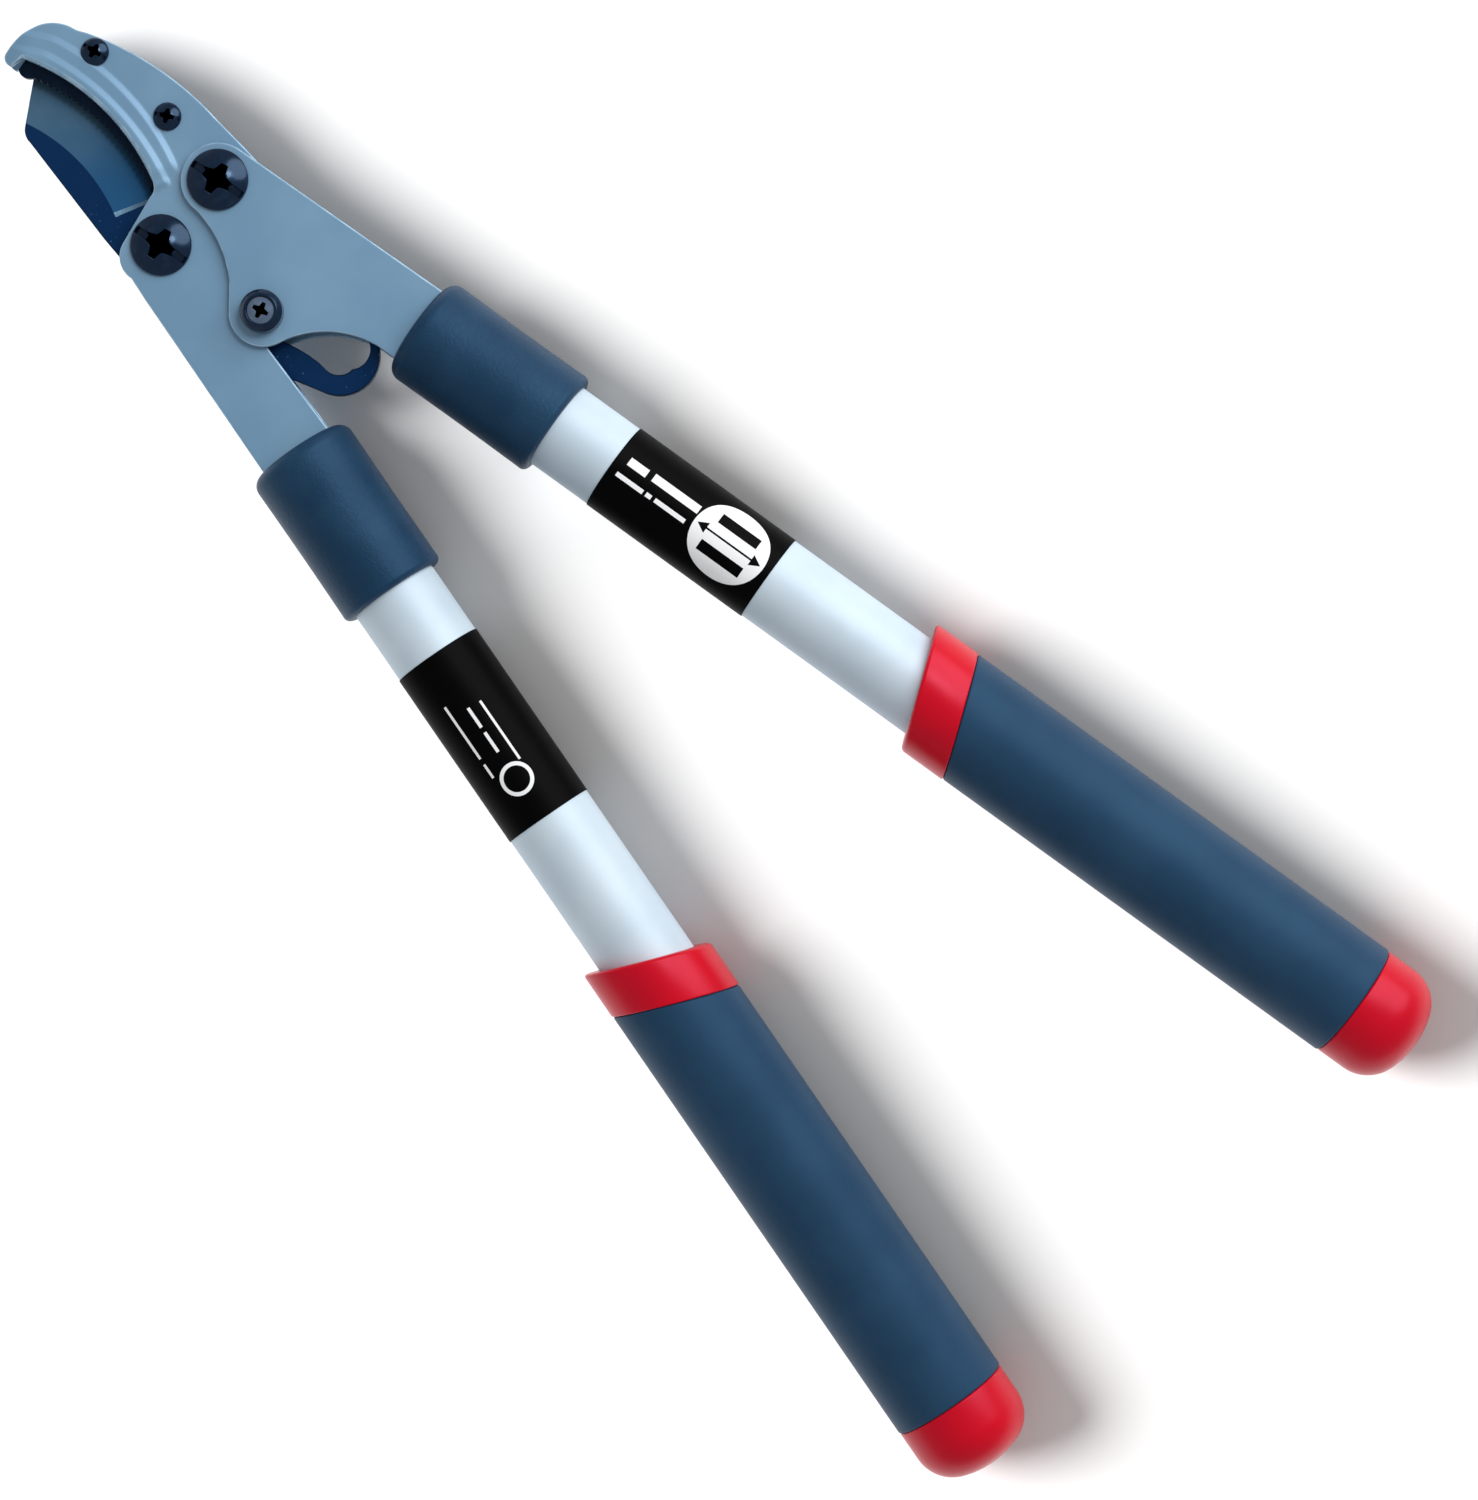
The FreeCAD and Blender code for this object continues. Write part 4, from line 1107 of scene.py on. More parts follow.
@dataclass(frozen=True)
class Screw:
    """A domed screw with its drive, shank and threaded end, standing on an upright axis."""

    radius: float
    rim: float
    shank_r: float
    drive: Recess
    thread_length: float
    thread_pitch: float = 1.0
    lip: float = 0.20
    columns: int = 540
    draw_in: float = 0.16
    head_round: float = 0.35
    thread_share: float = 0.42
    end_chamfer: float = 0.5

    def surface(self, axis: Axis, seat: float, top: float, foot: float) -> Surface:
        """A polar grid that follows the drive's border.

        Rows run from the middle of the recess over its floor, up its wall, over a rounded lip,
        across the dome and the rim, under the head and down the shank. The dome is a ball's cap.
        The thread is a ridge whose radius falls with the fraction of a turn from the helix.

        Args:
            axis: the screw's axis.
            seat: the level under the head, in millimetres.
            top: the level of the dome's crown.
            foot: the level of the shank's end.
        Returns:
            The screw's points and faces.
        """
        rise = top - seat - self.rim
        ball = (self.radius ** 2 + rise ** 2) / (2 * rise)
        angle = np.linspace(0, 2 * math.pi, self.columns, endpoint=False)

        def dome(reach: Array) -> Array:
            """The dome's level at a distance from the axis."""
            return top - ball + np.sqrt(ball ** 2 - np.minimum(reach, self.radius) ** 2)

        edge = self.drive.border(angle, 0.0)
        foot_edge = self.drive.border(angle, self.draw_in)
        floor_reach = np.linspace(0, 1, 15)[:, None] * foot_edge
        floor = self.drive.floor(floor_reach, top, dome(floor_reach))
        lip = np.linspace(0, math.pi / 2, 4)[:, None]
        lip_reach = edge + self.lip * (1 - np.cos(lip))
        lip_level = dome(edge + self.lip) - self.lip * (1 - np.sin(lip))
        outer = self.radius - self.head_round
        spread = np.linspace(0, 1, 22)[1:, None]
        dome_reach = (edge + self.lip) * (1 - spread) + outer * spread
        dome_level = dome(dome_reach)
        below = rounded_profile([(dome(np.array(outer)), outer, 0),
                                 (seat + self.rim, self.radius, self.head_round),
                                 (seat, self.radius, 0.12), (seat, self.shank_r, 0.1),
                                 (foot + self.thread_length, self.shank_r, 0)], steps=4)[1:]
        rows = 7 * int(self.thread_length + 2)
        thread_end = foot + self.end_chamfer
        levels = np.linspace(foot + self.thread_length, thread_end, rows)[1:]
        turns = levels[:, None] / self.thread_pitch - angle / (2 * math.pi)
        ridge = np.abs((turns % 1) * 2 - 1)
        fade = np.clip((levels[:, None] - thread_end) / 0.8, 0, 1)
        cut = self.thread_share * self.thread_pitch * ridge * fade
        thread_reach = self.shank_r - cut - 0.35 * (1 - fade)
        flat = np.ones(self.columns)
        end_reach = np.array([[self.shank_r - 0.9], [self.shank_r * 0.4], [0.0]]) * flat
        end_level = np.full(end_reach.shape, foot)
        reach = np.concatenate([floor_reach, lip_reach, dome_reach, below[:, 1:] * flat,
                                thread_reach, end_reach])
        level = np.concatenate([floor, lip_level, dome_level, below[:, :1] * flat,
                                levels[:, None] * flat, end_level])
        # Marks the lip's rows for rubbing and a painted highlight, and the recess floor for painted
        # shade: full in the cross, a quarter of it past the cross.
        worn_and_painted_light = np.zeros((len(reach) - 1, self.columns))
        worn_and_painted_light[len(floor):len(floor) + 3] = 1.0
        worn_and_painted_light[:len(floor)] = np.where(reach[1:len(floor) + 1] < self.drive.reach * 1.03, -1.0, -0.25)
        made = Surface()
        spots = axis.turned(np.zeros((len(reach), 2)), self.columns, swell=reach)
        made.add_grid(spots + level[..., None] * MM * axis.along, wear_and_painted_light=worn_and_painted_light)
        return made


@dataclass(frozen=True)
class HexNut:
    """A six-sided nut with rounded chamfers and a countersunk bore."""

    flats: float
    bore: float
    chamfer: float = 1.2
    slope: float = 1.9
    countersink: float = 0.45
    columns: int = 240

    def surface(self, axis: Axis, low: float, high: float, turn: float = 0.0) -> Surface:
        """Rows of a ring profile whose outer radius is the nearer of hexagon and chamfer cone.

        The hexagon's radius at an angle is half the flats over the cosine of the angle to the
        middle of the nearest flat.

        Args:
            axis: the nut's axis.
            low: its lowest level, in millimetres.
            high: its highest level.
            turn: how far its flats are turned, in radians.
        Returns:
            The nut's points and faces.
        """
        angle = np.linspace(0, 2 * math.pi, self.columns, endpoint=False)
        hexagon = self.flats / 2 / np.cos((angle + turn) % (math.pi / 3) - math.pi / 6)
        outside = np.concatenate([np.linspace(low, low + self.chamfer, 9),
                                  np.linspace(high - self.chamfer, high, 9)])
        inset = np.minimum(outside - low, high - outside)[:, None]
        cone = self.flats / 2 * 0.98 + self.slope * inset
        soft = (hexagon ** -24 + cone ** -24) ** (-1 / 24)
        reach = np.concatenate([soft, np.full((4, self.columns), self.bore)])
        reach[[-4, -1]] += self.countersink
        level = np.concatenate([outside, [high, high - self.countersink,
                                          low + self.countersink, low]])
        made = Surface()
        spots = axis.turned(np.zeros((len(reach), 2)), self.columns, swell=reach)
        made.add_grid(spots + level[:, None, None] * MM * axis.along, round_rows=True)
        return made


@dataclass
class PivotSet:
    """The domed bolt of a pivot and the nut behind the head."""

    name: str
    finishes: Finishes
    head: HeadFrame
    recess_turn: float = math.radians(-77.4)
    rim: float = 0.9
    shank_r: float = 4.0
    drive: Recess = Recess(4.3, 0.95, 2.7, 8.1, 2.0, 0.85, 0.32)
    nut_flats: float = 13.0

    def build(self) -> None:
        """Builds the bolt and the nut on the hook frame's body."""
        centre = self.head.round_node(self.name + "_nut")[0]
        radius = self.head.round_node(self.name + "_bolt")[1]
        nut_low, nut_high = self.head.levels(self.name + "_nut")
        foot, top = self.head.levels(self.name + "_bolt")
        screw = Screw(radius, self.rim, self.shank_r, self.drive, thread_length=5.0)
        screw.surface(self.head.upright(centre, self.recess_turn), -nut_high, top, foot).build(
            self.name + "_dome_bolt", "hook_frame", self.finishes.fastener, "black_fastener",
            [self.name + "_bolt"], crease=30.0)
        HexNut(self.nut_flats, self.shank_r + 0.05).surface(
            self.head.upright(centre), nut_low, nut_high).build(
            self.name + "_hex_nut", "hook_frame", self.finishes.fastener, "black_fastener",
            [self.name + "_nut"])


@dataclass
class HookScrews:
    """The two small screws that hold the counter blade, and their nuts."""

    finishes: Finishes
    head: HeadFrame
    places: tuple[tuple[float, float], ...] = ((23.9, 50.3), (25.7, 23.8))
    turns: tuple[float, ...] = (-77.4, -58.0)
    drive: Recess = Recess(2.0, 0.42, 1.5, 3.7, 1.0, 0.5, 0.3)
    nut_flats: float = 7.0

    def build(self) -> None:
        """Builds each screw and nut."""
        foot, top = self.head.levels("hook_screws")
        seat = self.head.levels("hook_plate_rear")
        nut_low, nut_high = self.head.levels("hook_screw_nuts")
        screw = Screw(3.85, 0.6, 2.0, self.drive, 3.6, 0.7, 0.09, 360)
        nut = HexNut(self.nut_flats, 2.05)
        black = self.finishes.fastener
        for number, (place, turn) in enumerate(zip(self.places, self.turns), 1):
            axis = self.head.upright(place, math.radians(turn))
            screw.surface(axis, -seat[0], top, foot).build(
                f"hook_dome_screw_{number}", "hook_frame", black, "black_fastener",
                ["hook_screws"], crease=30.0)
            nut.surface(self.head.upright(place), nut_low, nut_high, 0.3).build(
                f"hook_hex_nut_{number}", "hook_frame", black, "black_fastener",
                ["hook_screw_nuts"])


@dataclass
class DrivePin:
    """The pin on the right arm: rear head, tall front collar and the screw set in the collar."""

    finishes: Finishes
    head: HeadFrame
    bevel: tuple[float, float] = (1.35, 1.25)
    screw: Screw = Screw(3.8, 1.25, 1.6, Recess(2.3, 0.48, 1.4, widening=0.22), 3.0, 0.6, 0.10, 360)
    recess_turn: float = math.radians(17.0)

    def build(self) -> None:
        """Builds the three pieces from profiles turned about the pin."""
        centre, head_r = self.head.round_node("drive_pin")
        axis = self.head.upright(centre)
        foot, end = self.head.levels("drive_pin")
        seat = self.head.levels("arm_plate_rear")[0]
        pin = Surface()
        pin.add_grid(axis.turned(rounded_profile(
            [(foot, 0, 0), (foot + 0.05, head_r * 0.5, 0.2), (foot + 0.25, head_r, 0.7),
             (seat, head_r, 0.15), (seat, 3.0, 0), (end, 3.0, 0.3), (end, 0, 0)]), 96))
        pin.build("headed_drive_pin", "right_arm", self.finishes.fastener, "black_fastener",
                  ["drive_pin"])
        seat, top = self.head.levels("drive_pin_collar")
        radius = self.head.round_node("drive_pin_collar")[1]
        well = self.screw.radius + 0.05
        collar = Surface()
        collar.add_grid(axis.turned(rounded_profile(
            [(seat, 3.05, 0), (seat, radius, 0.2), (top - self.bevel[1], radius, 0.7),
             (top, radius - self.bevel[0], 0.35), (top, well, 0.15),
             (top - 2.0, well, 0), (top - 2.0, 3.05, 0)], closed=True), 128), round_rows=True)
        collar.build("round_pin_collar", "right_arm", self.finishes.fastener, "black_fastener",
                     ["drive_pin_collar"])
        screw_foot, screw_top = self.head.levels("drive_pin_screw")
        self.screw.surface(self.head.upright(centre, self.recess_turn), screw_top - 1.75,
                           screw_top - 0.12, screw_foot).build(
            "flush_pin_screw", "right_arm", self.finishes.flush, "black_fastener",
            ["drive_pin_screw"], crease=30.0)


# ---------------------------------------------------------------- the head's sub-assemblies

@dataclass
class HookHead:
    """The two hook plates and the toothed counter blade between them."""

    finishes: Finishes
    head: HeadFrame
    hook_centre: tuple[float, float] = (-49.5, 36.2)
    hook_r: float = 64.0
    inner_ridge: float = 67.15
    inner_bow: float = 0.3
    outer_ridge: float = 71.75
    outer_lean: float = 0.025
    ridge_height: float = 0.76
    ridge_width: float = 1.95
    ridge_ends: tuple[tuple[float, float], ...] = ((-22.3, 1.8), (-19.5, 4.0))
    plate_rim: float = 0.38
    inner_rim: float = 0.25
    hook_rim: float = 1.25
    edge_centre: tuple[float, float] = (-50.5, 33.5)
    edge_r: float = 62.0
    tooth_pitch: float = 1.9
    tooth_depth: float = 0.75
    tooth_span: tuple[float, float] = (-19.0, 22.2)
    tooth_fade: float = 0.8
    strip_rim: float = 0.32
    strip_gap: float = 0.02

    def ridge_lines(self, angle: Array) -> tuple[Array, Array]:
        """How far each ridge's foot is from the hook's centre, at angles in degrees.

        Args:
            angle: angles from the hook's centre.
        Returns:
            The inner and the outer ridge's distances.
        """
        tip = eased((angle - 19.0) / 8.0)
        inner = self.inner_ridge + self.inner_bow * (angle / 17.0) ** 2 - 1.6 * tip
        outer = self.outer_ridge + self.outer_lean * angle - 1.6 * tip
        return inner, outer

    def ridges(self, spots: Array) -> Array:
        """How far the front plate is pressed up.

        Each ridge falls by one step height across its foot line, eased over the ridge's width,
        and both fade past their lower end and at the hook's nose.

        Args:
            spots: plan points.
        Returns:
            The rise at each point, in millimetres.
        """
        reach, angle = polar(spots, self.hook_centre)
        inner, outer = self.ridge_lines(angle)
        nose = 1 - eased((angle - 24.0) / 6.0)
        steps = [1 - eased((reach - foot) / self.ridge_width + 0.5) for foot in (inner, outer)]
        ends = [eased((angle - end) / width + 0.5) for end, width in self.ridge_ends]
        raised = steps[0] * ends[0] + steps[1] * ends[1]
        return self.ridge_height * nose * raised * (reach > self.hook_r - 3)

    def ridge_dots(self) -> Array:
        """Points along and across the ridges: close together on their slopes.

        Returns:
            The plan points.
        """
        angle = np.arange(-27.0, 34.0, 0.55)
        inner, outer = self.ridge_lines(angle)
        slope = np.linspace(-0.65, 0.65, 9) * self.ridge_width
        share = np.linspace(0, 1, 5)[1:-1]
        bands = [self.hook_r + 1.4 + (inner - self.hook_r - 2.6) * part for part in share]
        bands += [inner + shift for shift in slope]
        bands += [inner + 1.2 + (outer - inner - 2.4) * part for part in share[:2]]
        bands += [outer + shift for shift in slope] + [outer + 2.2, outer + 3.6]
        return np.concatenate([around(self.hook_centre, band, angle) for band in bands])

    def rim_of(self, spots: Array) -> Array:
        """Wide rounding along the hook's inner edge, narrow elsewhere.

        Args:
            spots: plan points on a border line.
        Returns:
            The rounding's radius at each point.
        """
        reach, angle = polar(spots, self.hook_centre)
        on_edge = 1 - eased((np.abs(reach - self.hook_r) - 0.3) / 1.2)
        share = on_edge * eased((angle + 20.5) / 3.0) * (1 - eased((angle - 23) / 3.5))
        return self.plate_rim + (self.hook_rim - self.plate_rim) * share

    def build(self) -> None:
        """Builds the plates and the counter blade."""
        rear_low, rear_high = self.head.levels("hook_plate_rear")
        outline = CadOutline("hook_plate_rear", self.head)
        lines = [outline.smooth(line, 0.6) for line in outline.loops(rear_high)]
        front = Plate(lines, -rear_high, lambda spots: -rear_low + self.ridges(spots), self.rim_of,
                      dots=self.ridge_dots())
        front.surface(self.head).build("pressed_hook_plate_front", "hook_frame", self.finishes.plate,
                                       "plate_steel", ["hook_plate_front"])
        rear = Plate(lines, rear_low, even(rear_high), even(self.inner_rim),
                     under_rim=self.plate_rim)
        rear.surface(self.head).build("hook_plate_back", "hook_frame", self.finishes.plate,
                                      "plate_steel", ["hook_plate_rear"])
        self.counter_blade()

    def counter_blade(self) -> None:
        """Builds the counter blade, whose edge radius grows by the teeth's depth between crests.

        A tooth is one hump of a sine along the edge, so the gaps between teeth are sharp.
        """
        low, high = self.head.levels("counter_blade")
        outline = CadOutline("counter_blade", self.head)
        lines = [outline.smooth(line, 0.16) for line in outline.loops(low)]
        reach, angle = polar(lines[0], self.edge_centre)
        on_edge = np.abs(reach - self.edge_r) < 0.06
        travel = np.radians(angle) * self.edge_r
        gap = 1 - np.abs(np.sin(math.pi * travel / self.tooth_pitch))
        first, last = self.tooth_span
        ends = (eased((angle - first) / self.tooth_fade)
                * (1 - eased((angle - last) / self.tooth_fade)))
        deeper = np.where(on_edge, self.tooth_depth * gap * ends, 0.0)
        lines[0] = around(self.edge_centre, reach + deeper, angle)
        strip = Plate(lines, low, even(high - self.strip_gap), even(self.strip_rim),
                      under_rim=0.22, steps=3, shelf=0.0)
        strip.surface(self.head).build("toothed_counter_blade", "hook_frame", self.finishes.counter,
                                       "counter_steel", ["counter_blade"], crease=32.0)


@dataclass
class CuttingBlade:
    """The blade: pivot boss, ground bevel and the tail with its slotted loop."""

    head: HeadFrame
    edge_centre: tuple[float, float] = (-50.5, 33.5)
    edge_r: float = 64.0
    bevel_r: float = 50.3
    bevel_depth: float = 2.4
    bevel_start: float = -21.4
    facet: float = 1.3
    rim: float = 0.28

    def sunk(self, spots: Array) -> Array:
        """How far the bevel is ground down.

        The depth grows evenly from the bevel's top to the edge. Beside the bevel's start line it
        rises back to the flat across the facet's width.

        Args:
            spots: plan points.
        Returns:
            The depth at each point, in millimetres.
        """
        reach, angle = polar(spots, self.edge_centre)
        depth = self.bevel_depth * np.clip((reach - self.bevel_r) / (self.edge_r - self.bevel_r), 0, 1)
        past = reach * np.sin(np.radians(angle - self.bevel_start))
        return depth * np.clip(past / self.facet, 0, 1)

    def build(self) -> None:
        """Builds the blade with the bevel's borders kept as edges."""
        low, high = self.head.levels("blade")
        outline = CadOutline("blade", self.head)
        lines = [outline.smooth(line, 0.5) for line in outline.loops(low)]
        sweep = np.arange(self.bevel_start, 40.0, 0.8)
        start = math.radians(self.bevel_start)
        across = np.array([-math.sin(start), math.cos(start)]) * self.facet
        reaches = np.arange(self.bevel_r, self.edge_r, 0.8)
        first = around(self.edge_centre, reaches, np.full(len(reaches), self.bevel_start))
        kept = (around(self.edge_centre, self.bevel_r, sweep), first[1:], first[1:] + across)
        dots = np.concatenate([around(self.edge_centre, reach, sweep[3:])
                               for reach in np.arange(self.bevel_r + 2, self.edge_r, 2.0)])
        blade = Plate(lines, low, lambda spots: high - self.sunk(spots),
                      lambda spots: np.where(self.sunk(spots) > 0.9, 0.12, self.rim),
                      under_rim=0.2, dots=dots, kept=kept)
        row = self.head.to_row(np.array([*self.edge_centre, 0.0]))
        coat = BladeCoat((float(row[0]), float(row[1])), self.bevel_r * MM, start, self.facet * MM,
                         float(row[2]) + (low + 0.1) * MM)
        blade.surface(self.head).build("ground_blade", "blade", coat.paint(), "blade_steel", ["blade"],
                                       crease=6.0)


@dataclass
class ArmPlates:
    """The two plates of the right arm."""

    finishes: Finishes
    head: HeadFrame
    rim: float = 0.38
    inner_rim: float = 0.25

    def build(self) -> None:
        """Builds each plate from its CAD outline."""
        for node, top, under in (("arm_plate_front", self.rim, self.inner_rim),
                                 ("arm_plate_rear", self.inner_rim, self.rim)):
            low, high = self.head.levels(node)
            outline = CadOutline(node, self.head)
            lines = [outline.smooth(line, 0.6) for line in outline.loops(low)]
            plate = Plate(lines, low, even(high), even(top), under_rim=under)
            plate.surface(self.head).build("cut_" + node, "right_arm", self.finishes.plate,
                                           "plate_steel", [node])


# ---------------------------------------------------------------- handles

class Side(Enum):
    """Which handle: its word in node names, its sign and the body that it belongs to."""

    LEFT = ("left", -1, "hook_frame")
    RIGHT = ("right", 1, "right_arm")


@dataclass
class Handle:
    """One handle: tube, rubber sleeve, label, red core with collar and cap, and soft cover."""

    side: Side
    finishes: Finishes
    slant: float = math.radians(20.0)
    sleeve_head_round: float = 3.6
    sleeve_tail_round: float = 1.8
    sleeve_bottom: float = 4.0
    sleeve_waist: float = 0.15
    tube_wall: float = 1.5
    cover_wall: float = 1.4
    cover_end: float = 20.0
    collar_round: float = 1.1
    cover_round: float = 0.7
    cap_round: float = 11.0
    cap_sweep: float = math.radians(70.0)
    cap_wall: float = 6.0
    gap: float = 0.05

    def __post_init__(self) -> None:
        """Takes the handle's axis from the record's grip mount."""
        self.word, self.sign, self.body = self.side.value
        mount = next(m for m in frame["record"]["mounts"] if m["name"] == self.word + "_grip")
        along = np.array(mount["axis"], float)
        along /= np.linalg.norm(along)
        up = np.array([0.0, 0.0, 1.0])
        across = np.cross(along, up)
        across *= math.copysign(1.0, across[0])
        self.axis = Axis(np.array(mount["pos_m"], float), along, across, up)

    def reach(self, node: str, slant: float = 0.0) -> tuple[float, float, float]:
        """A node's start, end and radius along the axis, in millimetres, with a slant taken out.

        Args:
            node: the node's name without its side.
            slant: millimetres along per millimetre across.
        Returns:
            Start, end and radius.
        """
        spots = points_of(frame["nodes"][f"{self.word}_{node}"].data)
        step = (spots - self.axis.origin) / MM
        across = step @ self.axis.across
        along = step @ self.axis.along - slant * across
        return float(along.min()), float(along.max()), float(np.hypot(across, step[:, 2]).max())

    def piece(self, name: str, grid: Array, material: bpy.types.Material, slot: str, node: str,
              closed: bool = False) -> None:
        """Builds a piece from one grid of points.

        Args:
            name: the piece's name without its side.
            grid: its points.
            material: its finish.
            slot: the record's material slot.
            node: the CAD node that it stands for, without its side.
            closed: whether the last row joins the first.
        """
        made = Surface()
        made.add_grid(grid, round_rows=closed)
        made.build(f"{self.word}_{name}", self.body, material, slot, [f"{self.word}_{node}"])

    def build(self) -> None:
        """Builds the handle's pieces from the head end to the cap."""
        start, end, tube_r = self.reach("tube")
        self.piece("handle_tube", self.axis.turned(rounded_profile(
            [(start, tube_r - self.tube_wall, 0.2), (start, tube_r, 0.3), (end, tube_r, 0.3),
             (end, tube_r - self.tube_wall, 0.2)], closed=True), 128),
            self.finishes.tube, "tube_aluminium", "tube", closed=True)
        self.sleeve(tube_r + self.gap)
        self.label(tube_r + self.gap)
        self.grip(tube_r + self.gap)

    def sleeve(self, bore: float) -> None:
        """Builds the sleeve: a thick rubber cup with soft ends and a slight waist.

        Args:
            bore: the radius of the hole that the tube fits in.
        """
        start, end, radius = self.reach("sleeve")
        profile = rounded_profile(
            [(start, 0, 0), (start, radius, self.sleeve_head_round),
             (end, radius, self.sleeve_tail_round), (end, bore, 0.4),
             (start + self.sleeve_bottom, bore, 0.4), (start + self.sleeve_bottom, 0, 0)], steps=10)
        rows = 30
        extra = np.linspace(start + self.sleeve_head_round + 0.6,
                            end - self.sleeve_tail_round - 0.4, rows)
        cut = int(np.argmax((profile[:, 0] > (start + end) / 2)))
        wall = np.stack([extra, np.full(rows, radius)], 1)
        profile = np.concatenate([profile[:cut], wall, profile[cut:]])
        share = np.clip((profile[:, :1] - start) / (end - start), 0, 1)
        outer = (np.arange(len(profile))[:, None] < cut + rows) & (profile[:, 1:] > bore + 1)
        waist = -self.sleeve_waist * np.sin(math.pi * share) * outer
        self.piece("rubber_sleeve", self.axis.turned(profile, 128, swell=waist),
                   self.finishes.sleeve, "sleeve_rubber", "sleeve")

    def label(self, bore: float) -> None:
        """Builds the label, a thin band whose print is laid out along it and round it.

        Args:
            bore: the band's inner radius.
        """
        start, end, radius = self.reach("label")
        length, girth = end - start, 2 * math.pi * radius
        profile = np.array([(start, bore), (start, radius), (end, radius), (end, bore)])
        columns = 128
        grid = self.axis.turned(profile, columns)
        sheet = np.zeros((5, columns + 1, 2))
        sheet[..., 0] = np.array([0, 0, 1, 1, 1])[:, None]
        sheet[..., 1] = 0.75 - np.arange(columns + 1) / columns
        made = Surface()
        made.add_grid(grid, round_rows=True, sheet=sheet)
        made.build(self.word + "_printed_label", self.body, self.print_for(length, girth).paint(),
                   "label_film", [self.word + "_label"])

    def print_for(self, length: float, girth: float) -> Print:
        """The print of this handle's label: places are along it from the head end, and across.

        Args:
            length: the label's length.
            girth: its length round the tube.
        Returns:
            The print.
        """
        if self.side is Side.RIGHT:
            bars = (Bar(6.5, 3.4, 3.0, 1.25), Bar(19.0, 3.7, 7.6, 1.25),
                    Bar(7.0, -1.4, 4.4, 0.65), Bar(13.2, -1.3, 0.9, 0.65), Bar(20.2, -1.2, 5.0, 0.65))
            dark = (Bar(0.4, 4.7, 6.3, 1.6), Bar(0.2, -4.7, 6.9, 1.6))
            return Print("right_label_print", length, girth, bars, disc=(38.4, 0.9, 11.4),
                         dark_bars=dark, arrow=10.4)
        bars = (Bar(27.0, 3.2, 9.5, 0.35), Bar(20.5, -0.6, 3.2, 0.45), Bar(28.5, -0.6, 3.2, 0.45),
                Bar(22.0, -6.0, 8.5, 0.4), Bar(34.5, -6.0, 2.2, 0.4))
        return Print("left_label_print", length, girth, bars, ring=(40.5, -0.6, 4.2, 0.55))

    def grip(self, bore: float) -> None:
        """Builds the collar, cover and cap.

        The collar is a band whose places along the axis grow with the distance across by the
        tangent of the slant. The cover starts at that slant, which fades to nothing at its end.

        Args:
            bore: the radius of the hole that the tube fits in.
        """
        tilt = -self.sign * math.tan(self.slant)
        start, _, collar_r = self.reach("grip_core", tilt)
        cover_start, _, cover_r = self.reach("grip_cover", tilt)
        _, cover_end, _ = self.reach("grip_cover")
        _, cap_end, _ = self.reach("grip_core")
        band_end = cover_start - self.gap
        band = rounded_profile([(start, bore, 0.2), (start, collar_r, self.collar_round),
                                (band_end, collar_r, 0.45), (band_end, bore, 0)], closed=True)
        self.piece("red_collar", self.axis.turned(band, 160, slant=tilt), self.finishes.red, "grip_red",
                   "grip_core", closed=True)
        inner = bore + self.cover_wall
        cover = rounded_profile([(cover_start, inner, 0), (cover_start, cover_r, self.cover_round),
                                 (cover_start + self.cover_end, cover_r, 0),
                                 (cover_end - self.cover_end, cover_r, 0),
                                 (cover_end, cover_r, self.cover_round), (cover_end, inner, 0)],
                                closed=True)
        fade = 1 - np.clip((cover[:, 0] - cover_start - 1) / (cover_end - cover_start - 2), 0, 1)
        self.piece("grip_sheath", self.axis.turned(cover, 160, slant=tilt * fade), self.finishes.grip,
                   "grip_rubber", "grip_cover", closed=True)
        self.cap(bore, cover_end + self.gap, cap_end, cover_r - 0.2)

    def cap(self, bore: float, start: float, end: float, radius: float) -> None:
        """Builds the cap: a round corner swept part of a quarter turn, then a shallow dome.

        Args:
            bore: the radius of the hole that the tube fits in.
            start: where the cap starts along the axis.
            end: where it ends.
            radius: its radius at the start.
        """
        inset = radius - self.cap_round
        past = inset / math.cos(self.cap_sweep)
        bend = end - self.cap_round - past * (1 - math.sin(self.cap_sweep))
        turn = np.linspace(0, self.cap_sweep, 15)
        corner = np.stack([bend + self.cap_round * np.sin(turn),
                           inset + self.cap_round * np.cos(turn)], 1)
        ball = self.cap_round + past
        lift = np.linspace(self.cap_sweep, math.pi / 2, 8)[1:]
        dome = np.stack([end - ball * (1 - np.sin(lift)), ball * np.cos(lift)], 1)
        inner = end - self.cap_wall
        rim = rounded_profile([(inner, 0, 0), (inner, bore, 0.3), (start, bore, 0.2),
                               (start, radius, 0.5), (bend, radius, 0)])
        self.piece("red_cap", self.axis.turned(np.concatenate([rim, corner[1:], dome]), 160),
                   self.finishes.red, "grip_red", "grip_core")


@dataclass
class HiddenHardware:
    """The CAD nodes that keep their own mesh: spacer, bushes, washers, inserts, rivets and roller."""

    finishes: Finishes

    def dress(self) -> None:
        """Gives each of them its finish."""
        for node, piece in sorted(frame["nodes"].items()):
            if piece.hide_render:
                continue
            finish = self.finishes.metal
            if "washers" in node or "insert" in node:
                finish = self.finishes.nylon
            elif node == "hook_spacer":
                finish = self.finishes.counter
            piece.data.materials.clear()
            piece.data.materials.append(finish)
            log.info("%s keeps its CAD mesh in %s", node, finish.name)


# ---------------------------------------------------------------- studio

class FloorLight(Enum):
    """What a light reaches: only the floor, or everything but the floor."""

    ONLY = "INCLUDE"
    ALL_THE_REST = "EXCLUDE"


